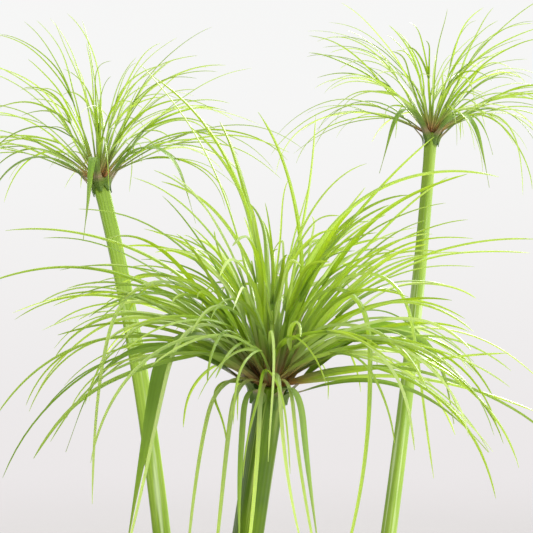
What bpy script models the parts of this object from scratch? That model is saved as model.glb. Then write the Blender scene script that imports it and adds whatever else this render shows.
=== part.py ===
"""Potted papyrus: a glazed pot of soil, three tall culms with open umbels, and two young shoots.

Metres, +Z up. The origin is the middle of the pot's foot, on the surface that it stands on.
Azimuths are in degrees about +Z: 0 points along +X, 90 along +Y.
"""

import math
from dataclasses import dataclass

import bmesh
import bpy
from mathutils import Matrix, Vector

# Clearance between separate pieces that touch in the real plant
GAP = 0.0004

# Pot
POT_HEIGHT = 0.200
POT_RIM_RADIUS = 0.122
POT_FOOT_RADIUS = 0.090
POT_WALL = 0.008
POT_FLOOR = 0.012
LIP_RADIUS = POT_WALL / 2
FOOT_FILLET = 0.006
CORNER_FILLET = 0.014
POT_SIDES = 40

# Soil
SOIL_TOP = 0.176
PLANTING_DEPTH = 0.028
SHEATH_DEPTH = 0.012

# Culm section: a blunt triangle inside a circle of radius 1
CORNER_CENTRE = 0.62
CORNER_ROUND = 1.0 - CORNER_CENTRE
FIRST_CORNER = 66.0
CORNER_HALF_ARC = 54.0
POINTS_PER_CORNER = 4
CULM_RINGS = 13
HUB_SWELL = 1.10
HUB_LENGTH = 0.010

# Basal sheaths and their walls
SHEATH_WALL = 0.0008
SHEATH_FLARE = 0.0010
SHEATH_RINGS = 5

# Bracts
BRACT_THICKNESS = 0.0007
BRACT_STATIONS = 9
BRACT_FOLD = 0.30
BRACT_TIP_WIDTH = 0.0010
BRACT_DROP_ON_HUB = 0.006
ROLLED_BY = 0.3

# Umbel canopies
CANOPY_WALL = 0.008
CANOPY_SIDES = 22
DOME_POINTS = 6
TRUNK_RADIUS = 0.014
NECK_RADIUS = 0.0045
SKIRT_TAPER = 0.96


@dataclass(frozen=True)
class Bract:
    """A leaf-like bract: it rises from the hub, bends over at its crest and hangs.

    Its blade turns about its own line by roll, which it reaches by ROLLED_BY of its length.
    """

    azimuth: float
    rise: float
    fall: float
    crest: float
    softness: float
    length: float
    width: float
    roll: float = 0.0


@dataclass(frozen=True)
class Canopy:
    """The room that the rays of one umbel take up, as an umbrella on a short trunk."""

    radius: float
    crown: float
    ceiling: float
    skirt: float
    lean: float


@dataclass(frozen=True)
class Culm:
    """One tall stem, from its foot in the soil past a bend point to the hub of its umbel."""

    name: str
    foot: tuple
    bend: tuple
    hub: tuple
    foot_radius: float
    hub_radius: float
    sheath_height: float
    canopy: Canopy
    bracts: tuple


@dataclass(frozen=True)
class Shoot:
    """A young stem that still carries its umbel closed, as a spear."""

    name: str
    foot: tuple
    bend: tuple
    neck: tuple
    foot_radius: float
    neck_radius: float
    sheath_height: float
    bud_length: float
    bud_radius: float


FRONT = Culm(
    name="front",
    foot=(-0.028, -0.034),
    bend=(0.006, -0.125, 0.485),
    hub=(0.045, -0.215, 0.735),
    foot_radius=0.0112,
    hub_radius=0.0086,
    sheath_height=0.085,
    canopy=Canopy(radius=0.168, crown=0.150, ceiling=0.075, skirt=0.112, lean=0.5),
    bracts=(
        Bract(-8, 44, -80, 0.52, 0.70, 0.130, 0.0084, roll=-50),
        Bract(36, 48, -50, 0.55, 0.90, 0.128, 0.0058),
        Bract(142, 46, -52, 0.52, 0.90, 0.126, 0.0058),
        Bract(174, 34, -70, 0.45, 0.80, 0.134, 0.0044, roll=40),
        Bract(-148, 52, -78, 0.27, 0.36, 0.172, 0.0096, roll=26),
        Bract(-112, 30, -84, 0.12, 0.26, 0.112, 0.0034),
        Bract(-66, 30, -78, 0.18, 0.34, 0.122, 0.0036),
        Bract(-30, 16, -44, 0.50, 0.90, 0.124, 0.0036, roll=-40),
    ),
)
LEFT = Culm(
    name="left",
    foot=(-0.012, 0.038),
    bend=(0.006, 0.064, 0.570),
    hub=(-0.073, 0.135, 0.853),
    foot_radius=0.0082,
    hub_radius=0.0056,
    sheath_height=0.070,
    canopy=Canopy(radius=0.142, crown=0.120, ceiling=0.065, skirt=0.085, lean=0.5),
    bracts=(
        Bract(20, 58, -20, 0.62, 0.90, 0.118, 0.0074),
        Bract(-38, 44, -68, 0.40, 0.70, 0.122, 0.0060),
        Bract(-92, 40, -70, 0.34, 0.60, 0.112, 0.0054),
        Bract(-150, 42, -62, 0.40, 0.80, 0.118, 0.0058),
        Bract(162, 48, -50, 0.50, 0.90, 0.110, 0.0054),
    ),
)
RIGHT = Culm(
    name="right",
    foot=(0.036, 0.012),
    bend=(0.140, 0.225, 0.540),
    hub=(0.176, 0.335, 0.899),
    foot_radius=0.0080,
    hub_radius=0.0052,
    sheath_height=0.075,
    canopy=Canopy(radius=0.140, crown=0.118, ceiling=0.065, skirt=0.085, lean=0.4),
    bracts=(
        Bract(-12, 44, -60, 0.46, 0.80, 0.112, 0.0056),
        Bract(-60, 40, -70, 0.34, 0.60, 0.116, 0.0056),
        Bract(-122, 42, -66, 0.38, 0.70, 0.118, 0.0060),
        Bract(178, 50, -48, 0.50, 0.90, 0.110, 0.0052),
        Bract(48, 46, -60, 0.48, 0.80, 0.108, 0.0052),
    ),
)
CULMS = (FRONT, LEFT, RIGHT)

SHOOTS = (
    Shoot(
        name="tall_shoot",
        foot=(0.020, -0.042),
        bend=(0.030, -0.052, 0.300),
        neck=(0.046, -0.072, 0.400),
        foot_radius=0.0066,
        neck_radius=0.0042,
        sheath_height=0.060,
        bud_length=0.105,
        bud_radius=0.0070,
    ),
    Shoot(
        name="short_shoot",
        foot=(-0.054, 0.010),
        bend=(-0.060, 0.014, 0.235),
        neck=(-0.072, 0.020, 0.290),
        foot_radius=0.0058,
        neck_radius=0.0038,
        sheath_height=0.050,
        bud_length=0.080,
        bud_radius=0.0060,
    ),
)

# Surface colours, roughness and metallic value
FINISHES = {
    "glaze": ((0.66, 0.64, 0.60), 0.30, 0.0),
    "potting_soil": ((0.10, 0.065, 0.04), 0.95, 0.0),
    "culm_green": ((0.16, 0.36, 0.05), 0.45, 0.0),
    "bract_green": ((0.26, 0.50, 0.07), 0.45, 0.0),
    "ray_green": ((0.38, 0.62, 0.10), 0.50, 0.0),
    "sheath_brown": ((0.36, 0.20, 0.10), 0.75, 0.0),
}


# ---------------------------------------------------------------- scene and materials


def clear_scene():
    for obj in list(bpy.data.objects):
        bpy.data.objects.remove(obj)


def new_collection(name):
    made = bpy.data.collections.new(name)
    bpy.context.scene.collection.children.link(made)
    return made


def finish_of(name):
    """The named finish as a material, made the first time that it is asked for."""
    found = bpy.data.materials.get(name)
    if found:
        return found
    colour, roughness, metallic = FINISHES[name]
    made = bpy.data.materials.new(name)
    made.use_nodes = True
    shader = made.node_tree.nodes["Principled BSDF"]
    shader.inputs["Base Color"].default_value = (*colour, 1.0)
    shader.inputs["Roughness"].default_value = roughness
    shader.inputs["Metallic"].default_value = metallic
    return made


def add_part(name, mesh, finish):
    """A mesh as one named part of the plant, in its finish."""
    obj = bpy.data.objects.new(name, mesh)
    plant.objects.link(obj)
    mesh.materials.clear()
    mesh.materials.append(finish_of(finish))
    return obj


# ---------------------------------------------------------------- shared shapes


def arc(centre, radius, start, end, steps):
    """Points on a circular arc in the profile plane, angles in degrees."""
    turns = [math.radians(start + (end - start) * i / steps) for i in range(steps + 1)]
    return [(centre[0] + radius * math.cos(a), centre[1] + radius * math.sin(a)) for a in turns]


def turned_mesh(name, profile, sides):
    """A solid turned about +Z from a profile that starts and ends on the axis."""
    outline = bpy.data.meshes.new(name)
    edges = [(i, i + 1) for i in range(len(profile) - 1)]
    outline.from_pydata([(r, 0.0, z) for r, z in profile], edges, [])
    lathe = bpy.data.objects.new(name, outline)
    helpers.objects.link(lathe)
    screw = lathe.modifiers.new("turn", "SCREW")
    screw.steps = screw.render_steps = sides
    screw.use_merge_vertices = True
    screw.merge_threshold = 0.00005
    return taken_mesh(lathe, name)


def taken_mesh(obj, name):
    """The evaluated mesh of a helper object, welded closed, with its place in its points."""
    bpy.context.view_layer.update()
    graph = bpy.context.evaluated_depsgraph_get()
    mesh = bpy.data.meshes.new_from_object(obj.evaluated_get(graph))
    mesh.transform(obj.matrix_world)
    mesh.name = name
    bpy.data.objects.remove(obj)
    shape = bmesh.new()
    shape.from_mesh(mesh)
    bmesh.ops.remove_doubles(shape, verts=shape.verts, dist=0.00001)
    bmesh.ops.recalc_face_normals(shape, faces=shape.faces)
    shape.to_mesh(mesh)
    shape.free()
    return mesh


def blunt_triangle():
    """The culm's section as a closed flat curve of radius 1, its three corners rounded."""
    section = bpy.data.curves.new("blunt_triangle", "CURVE")
    section.dimensions = "2D"
    points = []
    for corner in range(3):
        facing = FIRST_CORNER + 120 * corner
        centre = (
            CORNER_CENTRE * math.cos(math.radians(facing)),
            CORNER_CENTRE * math.sin(math.radians(facing)),
        )
        start, end = facing - CORNER_HALF_ARC, facing + CORNER_HALF_ARC
        points += arc(centre, CORNER_ROUND, start, end, POINTS_PER_CORNER - 1)
    spline = section.splines.new("POLY")
    spline.points.add(len(points) - 1)
    for point, (x, y) in zip(spline.points, points):
        point.co = (x, y, 0.0, 1.0)
    spline.use_cyclic_u = True
    obj = bpy.data.objects.new("blunt_triangle", section)
    helpers.objects.link(obj)
    return obj


def swept_object(name, path, radii, capped):
    """A tube of the culm's section along a path, as a helper object."""
    curve = bpy.data.curves.new(name, "CURVE")
    curve.dimensions = "3D"
    curve.twist_mode = "MINIMUM"
    curve.bevel_mode = "OBJECT"
    curve.bevel_object = culm_section
    curve.use_fill_caps = capped
    spline = curve.splines.new("POLY")
    spline.points.add(len(path) - 1)
    for point, place, radius in zip(spline.points, path, radii):
        point.co = (*place, 1.0)
        point.radius = radius
    obj = bpy.data.objects.new(name, curve)
    helpers.objects.link(obj)
    return obj


def eased(t):
    """0 to 1 with a level start and end, held outside that range."""
    t = min(1.0, max(0.0, t))
    return t * t * (3.0 - 2.0 * t)


def mixed(a, b, t):
    return a + (b - a) * t


# ---------------------------------------------------------------- pot and soil


def inner_wall_radius(height):
    """The radius of the pot's inner wall at this height."""
    outer = mixed(POT_FOOT_RADIUS, POT_RIM_RADIUS, height / POT_HEIGHT)
    return outer - POT_WALL


def build_pot():
    """A plain tapered pot with a rounded lip and no drain hole, because papyrus stands wet."""
    lip_centre = (POT_RIM_RADIUS - LIP_RADIUS, POT_HEIGHT - LIP_RADIUS)
    foot_centre = (POT_FOOT_RADIUS - FOOT_FILLET, FOOT_FILLET)
    corner_centre = (
        inner_wall_radius(POT_FLOOR + CORNER_FILLET) - CORNER_FILLET,
        POT_FLOOR + CORNER_FILLET,
    )
    profile = [(0.0, POT_FLOOR)]
    profile += arc(corner_centre, CORNER_FILLET, -90, 0, 3)
    profile += arc(lip_centre, LIP_RADIUS, 180, 0, 6)
    profile += arc(foot_centre, FOOT_FILLET, 0, -90, 3)
    profile += [(0.0, 0.0)]
    add_part("pot", turned_mesh("pot", profile, POT_SIDES), "glaze")


def build_soil(cutters):
    """The soil that fills the pot, with a planting hole where each stem goes in."""
    low = POT_FLOOR + GAP
    corner_radius = inner_wall_radius(low + CORNER_FILLET) - CORNER_FILLET - GAP
    corner_centre = (corner_radius, low + CORNER_FILLET)
    # The wall's chords come nearer to the axis than its corners do
    chord = math.cos(math.pi / POT_SIDES)
    top_radius = (inner_wall_radius(SOIL_TOP) - GAP) * chord
    profile = [(0.0, SOIL_TOP), (top_radius, SOIL_TOP)]
    profile += arc(corner_centre, CORNER_FILLET, 0, -90, 3)
    profile += [(0.0, low)]
    soil = add_part("soil", turned_mesh("soil", profile, POT_SIDES), "potting_soil")
    for cutter in cutters:
        hole = soil.modifiers.new(cutter.name, "BOOLEAN")
        hole.object = cutter
        hole.solver = "EXACT"


# ---------------------------------------------------------------- stems and sheaths


def stem_point(stem, tip, t):
    """A point on a stem's centre line, from its foot in the soil at 0 to its tip at 1."""
    foot = Vector((*stem.foot, SOIL_TOP - PLANTING_DEPTH))
    bend, end = Vector(stem.bend), Vector(tip)
    return foot * (1 - t) ** 2 + bend * (2 * t * (1 - t)) + end * t**2


def stem_path(stem, tip, start_height, end_height, rings):
    """Points on a stem's centre line between two heights, evenly spread."""

    def share_at(height):
        low, high = 0.0, 1.0
        for _ in range(40):
            middle = (low + high) / 2
            if stem_point(stem, tip, middle).z < height:
                low = middle
            else:
                high = middle
        return (low + high) / 2

    start, end = share_at(start_height), share_at(end_height)
    shares = [mixed(start, end, i / (rings - 1)) for i in range(rings)]
    return [stem_point(stem, tip, t) for t in shares], shares


def build_stem(name, stem, tip, tip_radius, swell):
    """A stem from its foot in the soil to its tip, tapering all the way."""
    path, shares = stem_path(stem, tip, SOIL_TOP - PLANTING_DEPTH, tip[2], CULM_RINGS)
    radii = [mixed(stem.foot_radius, tip_radius, t) for t in shares]
    if swell:
        neck = path[-1] - (path[-1] - path[-2]).normalized() * HUB_LENGTH
        path.insert(-1, neck)
        radii.insert(-1, radii[-1])
        radii[-1] *= HUB_SWELL
    tube = swept_object(name, path, radii, capped=True)
    add_part(name, taken_mesh(tube, name), "culm_green")


def build_sheath(name, stem, tip, tip_radius):
    """The papery sleeve at a stem's foot, which stands a little way into the soil."""
    low, high = SOIL_TOP - SHEATH_DEPTH, SOIL_TOP + stem.sheath_height
    path, shares = stem_path(stem, tip, low, high, SHEATH_RINGS)
    radii = []
    for i, t in enumerate(shares):
        # The corners of the sleeve's flat facets must clear the stem that it wraps
        flare = SHEATH_FLARE * (1.0 - 0.3 * i / (SHEATH_RINGS - 1))
        radii.append(mixed(stem.foot_radius, tip_radius, t) + flare)
    tube = swept_object(name, path, radii, capped=False)
    mesh = taken_mesh(tube, name)
    sleeve = add_part(name, mesh, "sheath_brown")
    wall = sleeve.modifiers.new("wall", "SOLIDIFY")
    wall.thickness = SHEATH_WALL
    wall.offset = 1.0
    wall.use_even_offset = True


def planting_hole(stem, tip, tip_radius):
    """The cutter that leaves room in the soil for a stem and its sheath."""
    low, high = SOIL_TOP - PLANTING_DEPTH - GAP, SOIL_TOP + 0.010
    wide = SHEATH_FLARE + 2 * SHEATH_WALL + GAP
    start = stem_point(stem, tip, 0.0) - Vector((0.0, 0.0, 2 * GAP))
    path, shares = stem_path(stem, tip, low, high, 3)
    path = [start, *path[1:]]
    radii = [mixed(stem.foot_radius, tip_radius, t) + wide for t in shares]
    name = f"{stem.name}_hole"
    mesh = taken_mesh(swept_object(name, path, radii, capped=True), name)
    cutter = bpy.data.objects.new(name, mesh)
    helpers.objects.link(cutter)
    cutter.hide_render = True
    cutter.display_type = "WIRE"
    return cutter


def build_bud(shoot):
    """The closed umbel of a young shoot: a spear of bracts and rays that haven't parted yet."""
    neck = Vector(shoot.neck)
    axis = (neck - stem_point(shoot, shoot.neck, 0.95)).normalized()
    profile = [(0.0, shoot.bud_length)]
    for share, width in ((0.94, 0.16), (0.78, 0.46), (0.55, 0.82), (0.30, 1.0), (0.10, 0.80)):
        profile.append((shoot.bud_radius * width, shoot.bud_length * share))
    profile += [(shoot.neck_radius, 0.0), (0.0, 0.0)]
    name = f"{shoot.name}_bud"
    mesh = turned_mesh(name, profile, 10)
    turn = axis.to_track_quat("Z", "Y").to_matrix().to_4x4()
    mesh.transform(Matrix.Translation(neck + axis * GAP) @ turn)
    add_part(name, mesh, "bract_green")


# ---------------------------------------------------------------- umbels


def hub_axis(culm):
    """The direction in which a culm points at its hub."""
    return (Vector(culm.hub) - Vector(culm.bend)).normalized()


def bract_line(culm, bract):
    """The centre line of a bract and its steepness in radians at each station."""
    axis = hub_axis(culm)
    outward = Vector(
        (math.cos(math.radians(bract.azimuth)), math.sin(math.radians(bract.azimuth)), 0.0)
    )
    beside = (outward - axis * outward.dot(axis)).normalized()
    ring = culm.hub_radius * HUB_SWELL + BRACT_THICKNESS + GAP
    place = Vector(culm.hub) + beside * ring - axis * BRACT_DROP_ON_HUB
    line, slopes = [place], []
    step = bract.length / (BRACT_STATIONS - 1)
    for i in range(BRACT_STATIONS):
        along = (i + 0.5) / (BRACT_STATIONS - 1)
        bent = eased((along - bract.crest) / bract.softness + 0.5)
        slope = math.radians(mixed(bract.rise, bract.fall, bent))
        slopes.append(slope)
        place = place + (outward * math.cos(slope) + Vector((0, 0, 1)) * math.sin(slope)) * step
        line.append(place)
    return line[:BRACT_STATIONS], slopes, outward


def bract_half_width(bract, along):
    """Half the blade's width: narrow where it leaves the hub, widest at a third, then tapering."""
    swell = mixed(0.72, 1.0, eased(along / 0.3))
    taper = 1.0 - eased((along - 0.35) / 0.65)
    return max(bract.width * swell * (0.12 + 0.88 * taper), BRACT_TIP_WIDTH) / 2


def build_bract(name, culm, bract):
    """A folded blade, laid out as a flat grid and then bent along its line."""
    line, slopes, outward = bract_line(culm, bract)
    side = outward.cross(Vector((0, 0, 1))).normalized()
    shape = bmesh.new()
    bmesh.ops.create_grid(shape, x_segments=BRACT_STATIONS - 1, y_segments=2, size=1.0)
    for vert in shape.verts:
        along = (vert.co.x + 1.0) / 2.0
        station = round(along * (BRACT_STATIONS - 1))
        half = bract_half_width(bract, along)
        upward = Vector((0, 0, 1)) * math.cos(slopes[station]) - outward * math.sin(slopes[station])
        roll = math.radians(bract.roll) * eased(along / ROLLED_BY)
        across = side * math.cos(roll) + upward * math.sin(roll)
        above = upward * math.cos(roll) - side * math.sin(roll)
        edge = vert.co.y
        vert.co = line[station] + across * (edge * half) + above * (abs(edge) * half * BRACT_FOLD)
    bmesh.ops.recalc_face_normals(shape, faces=shape.faces)
    mesh = bpy.data.meshes.new(name)
    shape.to_mesh(mesh)
    shape.free()
    blade = add_part(name, mesh, "bract_green")
    solid = blade.modifiers.new("thickness", "SOLIDIFY")
    solid.thickness = BRACT_THICKNESS
    solid.offset = 0.0


def canopy_profile(canopy):
    """Down the outside of the dome and its skirt, up inside to the ceiling, then down the trunk."""
    wall = CANOPY_WALL
    skirt_radius = canopy.radius * SKIRT_TAPER
    dome = [
        (canopy.radius * math.sin(a), canopy.crown * math.cos(a))
        for a in (math.radians(90 * i / DOME_POINTS) for i in range(DOME_POINTS + 1))
    ]
    skirt = [
        (skirt_radius, -canopy.skirt),
        (skirt_radius - wall, -canopy.skirt),
    ]
    dome_at_ceiling = canopy.radius * math.sqrt(1.0 - (canopy.ceiling / canopy.crown) ** 2)
    inside = [
        (skirt_radius - wall, 0.0),
        (dome_at_ceiling - 2 * wall, canopy.ceiling),
    ]
    trunk = [(TRUNK_RADIUS, canopy.ceiling), (NECK_RADIUS, GAP), (0.0, GAP)]
    return dome + skirt + inside + trunk


def build_canopy(culm):
    """One solid for all the rays of an umbel, which reaches their tips."""
    name = f"{culm.name}_rays"
    mesh = turned_mesh(name, canopy_profile(culm.canopy), CANOPY_SIDES)
    # Gravity holds the rays nearer to upright than the culm that carries them
    upright = Vector((0, 0, 1))
    leaning = upright.lerp(hub_axis(culm), culm.canopy.lean).normalized()
    turn = leaning.to_track_quat("Z", "Y").to_matrix().to_4x4()
    lift = hub_axis(culm) * (GAP + culm.hub_radius * 0.2)
    mesh.transform(Matrix.Translation(Vector(culm.hub) + lift) @ turn)
    add_part(name, mesh, "ray_green")


# ---------------------------------------------------------------- the whole plant


def build_culm(culm):
    """A tall stem with its sheath, its bracts and the room for its rays."""
    build_stem(f"{culm.name}_culm", culm, culm.hub, culm.hub_radius, swell=True)
    build_sheath(f"{culm.name}_sheath", culm, culm.hub, culm.hub_radius)
    for number, bract in enumerate(culm.bracts, start=1):
        build_bract(f"{culm.name}_bract_{number}", culm, bract)
    build_canopy(culm)


def build_shoot(shoot):
    """A young stem with its sheath and its closed umbel."""
    build_stem(f"{shoot.name}_stem", shoot, shoot.neck, shoot.neck_radius, swell=False)
    build_sheath(f"{shoot.name}_sheath", shoot, shoot.neck, shoot.neck_radius)
    build_bud(shoot)


clear_scene()
plant = new_collection("potted_papyrus")
helpers = new_collection("helpers")
culm_section = blunt_triangle()
culm_section.hide_render = True

build_pot()
holes = [planting_hole(c, c.hub, c.hub_radius) for c in CULMS]
holes += [planting_hole(s, s.neck, s.neck_radius) for s in SHOOTS]
build_soil(holes)
for tall in CULMS:
    build_culm(tall)
for young in SHOOTS:
    build_shoot(young)
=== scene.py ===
"""Potted papyrus: the looks of the pot, soil, culms, bracts, rays and young shoots.

Metres, +Z up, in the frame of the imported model. Azimuths are in degrees about +Z: 0 points
along +X, the front umbel's right, and 90 along +Y, away from the front.
"""

import logging
import math
from dataclasses import dataclass, field
from enum import Enum

import bpy
import numpy as np
from mathutils import Matrix, Vector


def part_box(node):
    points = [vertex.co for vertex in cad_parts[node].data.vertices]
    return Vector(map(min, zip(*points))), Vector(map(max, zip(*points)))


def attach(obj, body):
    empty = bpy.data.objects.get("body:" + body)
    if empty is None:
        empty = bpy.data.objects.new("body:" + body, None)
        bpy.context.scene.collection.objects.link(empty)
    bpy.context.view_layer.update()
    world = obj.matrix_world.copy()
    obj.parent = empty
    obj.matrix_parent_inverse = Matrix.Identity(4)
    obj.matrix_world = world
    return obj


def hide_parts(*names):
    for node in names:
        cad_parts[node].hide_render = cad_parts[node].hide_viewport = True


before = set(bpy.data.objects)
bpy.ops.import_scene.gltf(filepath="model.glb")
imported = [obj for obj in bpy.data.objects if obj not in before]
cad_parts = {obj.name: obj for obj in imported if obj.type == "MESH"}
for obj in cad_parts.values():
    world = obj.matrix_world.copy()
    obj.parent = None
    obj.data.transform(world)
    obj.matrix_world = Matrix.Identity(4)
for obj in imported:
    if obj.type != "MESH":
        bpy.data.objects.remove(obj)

LOG = logging.getLogger("papyrus")
UP = np.array((0.0, 0.0, 1.0))
GOLDEN_ANGLE = 137.508


# ================================================================ small helpers


def eased(t: np.ndarray | float) -> np.ndarray | float:
    """Smooth step from 0 to 1, level at both ends and held outside that range."""
    t = np.clip(t, 0.0, 1.0)
    return t * t * (3.0 - 2.0 * t)


def unit(v: np.ndarray) -> np.ndarray:
    """The vectors at length 1, along the last axis."""
    return v / np.maximum(np.linalg.norm(v, axis=-1, keepdims=True), 1e-12)


def heading(azimuth: float) -> np.ndarray:
    """The level direction at an azimuth in degrees."""
    turn = math.radians(azimuth)
    return np.array((math.cos(turn), math.sin(turn), 0.0))


def box_of(node: str) -> tuple[np.ndarray, np.ndarray]:
    """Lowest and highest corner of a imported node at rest."""
    low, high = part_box(node)
    return np.array(low), np.array(high)


def clear_selection() -> None:
    """Leave object mode with nothing selected."""
    if bpy.context.mode != "OBJECT":
        bpy.ops.object.mode_set(mode="OBJECT")
    bpy.ops.object.select_all(action="DESELECT")


def make_active(piece: bpy.types.Object) -> None:
    """Select one object alone and make it active.

    Args:
        piece: the object.
    """
    clear_selection()
    piece.select_set(True)
    bpy.context.view_layer.objects.active = piece


def face_outward(piece: bpy.types.Object) -> None:
    """Turn all the faces of a closed mesh outwards.

    Args:
        piece: the mesh object.
    """
    make_active(piece)
    bpy.ops.object.mode_set(mode="EDIT")
    bpy.ops.mesh.select_all(action="SELECT")
    bpy.ops.mesh.normals_make_consistent(inside=False)
    bpy.ops.object.mode_set(mode="OBJECT")


def arc(centre: tuple, radius: float, first: float, last: float, steps: int) -> list:
    """Trace part of a circle.

    Args:
        centre: its centre.
        radius: its radius.
        first: the angle of the first point, in degrees.
        last: the angle of the last point.
        steps: how many steps lie between them.

    Returns:
        The points, one more than the steps.
    """
    turns = [math.radians(first + (last - first) * i / steps) for i in range(steps + 1)]
    return [(centre[0] + radius * math.cos(t), centre[1] + radius * math.sin(t)) for t in turns]


def settle(piece: bpy.types.Object, smooth_angle: float = 35.0) -> None:
    """Put a finished piece's place into its mesh and smooth the faces that meet gently.

    Args:
        piece: the finished mesh object.
        smooth_angle: edges that turn more than this many degrees stay sharp.
    """
    make_active(piece)
    bpy.ops.object.transform_apply(location=True, rotation=True, scale=True)
    bpy.ops.object.shade_smooth_by_angle(angle=math.radians(smooth_angle))


def stand_for(piece: bpy.types.Object, nodes: list[str]) -> None:
    """Ride the piece on the plant's one body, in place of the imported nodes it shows.

    Args:
        piece: the new mesh object.
        nodes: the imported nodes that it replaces.
    """
    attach(piece, "root")
    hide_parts(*nodes)


def dress(
    piece: bpy.types.Object, finish: bpy.types.Material, smooth_angle: float, node: str
) -> None:
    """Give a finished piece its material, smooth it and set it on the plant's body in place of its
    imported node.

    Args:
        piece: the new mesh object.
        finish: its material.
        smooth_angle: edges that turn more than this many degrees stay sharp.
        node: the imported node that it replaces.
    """
    piece.data.materials.clear()
    piece.data.materials.append(finish)
    settle(piece, smooth_angle)
    stand_for(piece, [node])


# ================================================================ shader node kit


class NodeKit:
    """Short ways to add and join shader nodes in one tree."""

    def __init__(self, tree: bpy.types.NodeTree) -> None:
        """Work in this tree."""
        self.tree = tree

    def add(self, kind: str, **settings: object) -> bpy.types.Node:
        """Add a node.

        Args:
            kind: the node's type name, without the ShaderNode at its start.
            settings: attributes of the node.

        Returns:
            The new node.
        """
        prefix = "Node" if kind in ("GroupInput", "GroupOutput") else "ShaderNode"
        node = self.tree.nodes.new(prefix + kind)
        for name, value in settings.items():
            setattr(node, name, value)
        return node

    def join(self, source: bpy.types.NodeSocket, target: bpy.types.NodeSocket) -> None:
        """Link an output to an input."""
        self.tree.links.new(source, target)

    def put(self, socket: bpy.types.NodeSocket, value: object) -> None:
        """Link an input to another node's output, or set it.

        Args:
            socket: the input.
            value: the output, or a plain value.
        """
        if isinstance(value, bpy.types.NodeSocket):
            self.join(value, socket)
        elif isinstance(value, tuple) and len(value) == 3 and socket.type == "RGBA":
            socket.default_value = (*value, 1.0)
        else:
            socket.default_value = value

    def fill(self, node: bpy.types.Node, **values: object) -> bpy.types.Node:
        """Put values into a node's inputs.

        Args:
            node: the node.
            values: an output or a plain value for each input, by the input's name.

        Returns:
            The node.
        """
        for name, value in values.items():
            self.put(node.inputs[name], value)
        return node

    def math(self, operation: str, a: object, b: object = 0.0) -> bpy.types.NodeSocket:
        """Add a Math node.

        Args:
            operation: what it does.
            a: its first value.
            b: its second value.

        Returns:
            Its output.
        """
        node = self.add("Math", operation=operation)
        self.put(node.inputs[0], a)
        self.put(node.inputs[1], b)
        return node.outputs[0]

    def mix(self, share: object, a: object, b: object) -> bpy.types.NodeSocket:
        """Add a Mix node, whose two colours are its inputs 6 and 7.

        Args:
            share: how much of the second colour there is, 0 to 1.
            a: the first colour.
            b: the second colour.

        Returns:
            The mixed colour.
        """
        node = self.add("Mix", data_type="RGBA")
        self.put(node.inputs[0], share)
        self.put(node.inputs[6], a)
        self.put(node.inputs[7], b)
        return node.outputs[2]

    def noise(self, place: object, scale: object, detail: float = 3.0) -> bpy.types.NodeSocket:
        """Add a Noise node.

        Args:
            place: the coordinates that it reads.
            scale: how many of its clouds lie along one unit of them.
            detail: how finely they are broken up.

        Returns:
            The noise, about 0 to 1.
        """
        node = self.fill(self.add("TexNoise"), Vector=place, Scale=scale, Detail=detail)
        return node.outputs["Fac"]

    def span(
        self, value: object, low: float, high: float, to: tuple[float, float] = (0.0, 1.0)
    ) -> bpy.types.NodeSocket:
        """Map a value's range onto another, smoothly.

        Args:
            value: the value.
            low: where its range starts.
            high: where its range ends.
            to: the start and end of the new range.

        Returns:
            The mapped value, held inside the new range.
        """
        node = self.add("MapRange", interpolation_type="SMOOTHSTEP")
        for socket, number in zip(node.inputs, (value, low, high, *to)):
            self.put(socket, number)
        return node.outputs[0]

    def ramp(self, value: object, stops: tuple) -> bpy.types.NodeSocket:
        """Add a colour ramp.

        Args:
            value: the value that it reads, 0 to 1.
            stops: the (position, colour) pairs that it runs through.

        Returns:
            Its colour.
        """
        node = self.add("ValToRGB")
        elements = node.color_ramp.elements
        while len(elements) < len(stops):
            elements.new(0.5)
        for element, (position, colour) in zip(elements, stops):
            element.position = position
            element.color = (*colour, 1.0)
        self.put(node.inputs[0], value)
        return node.outputs[0]

    def place(self) -> bpy.types.NodeSocket:
        """Where a point lies on its piece, in metres."""
        return self.add("TexCoord").outputs["Object"]

    def uv(self) -> bpy.types.NodeSocket:
        """The UV map: across in X and along in Y."""
        return self.add("UVMap", uv_map="UVMap").outputs[0]

    def attribute(self, name: str) -> bpy.types.NodeSocket:
        """One of the mesh's own numbers."""
        return self.add("Attribute", attribute_name=name).outputs["Fac"]

    def part(self, vector: bpy.types.NodeSocket, axis: str) -> bpy.types.NodeSocket:
        """One part of a vector: X, Y or Z."""
        return self.fill(self.add("SeparateXYZ"), Vector=vector).outputs[axis]

    def scaled(self, vector: bpy.types.NodeSocket, scale: tuple) -> bpy.types.NodeSocket:
        """Coordinates scaled along each axis."""
        return self.fill(self.add("Mapping"), Vector=vector, Scale=scale).outputs[0]

    def relief(self, height: object, strength: float, distance: float) -> bpy.types.NodeSocket:
        """One Bump node; returns its normal."""
        node = self.add("Bump")
        return self.fill(node, Height=height, Strength=strength, Distance=distance).outputs[0]


def new_group(name: str, inputs: tuple, outputs: tuple) -> tuple[bpy.types.NodeTree, NodeKit]:
    """An empty shader node group.

    Args:
        name: the group's name.
        inputs: (name, socket type, value) of each input.
        outputs: (name, socket type) of each output.

    Returns:
        The group and a kit that works in it.
    """
    group = bpy.data.node_groups.new(name, "ShaderNodeTree")
    for label, kind, value in inputs:
        socket = group.interface.new_socket(name=label, in_out="INPUT", socket_type=kind)
        if value is not None:
            socket.default_value = value
    for label, kind in outputs:
        group.interface.new_socket(name=label, in_out="OUTPUT", socket_type=kind)
    return group, NodeKit(group)


COLOUR, NUMBER, VECTOR = "NodeSocketColor", "NodeSocketFloat", "NodeSocketVector"


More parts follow.
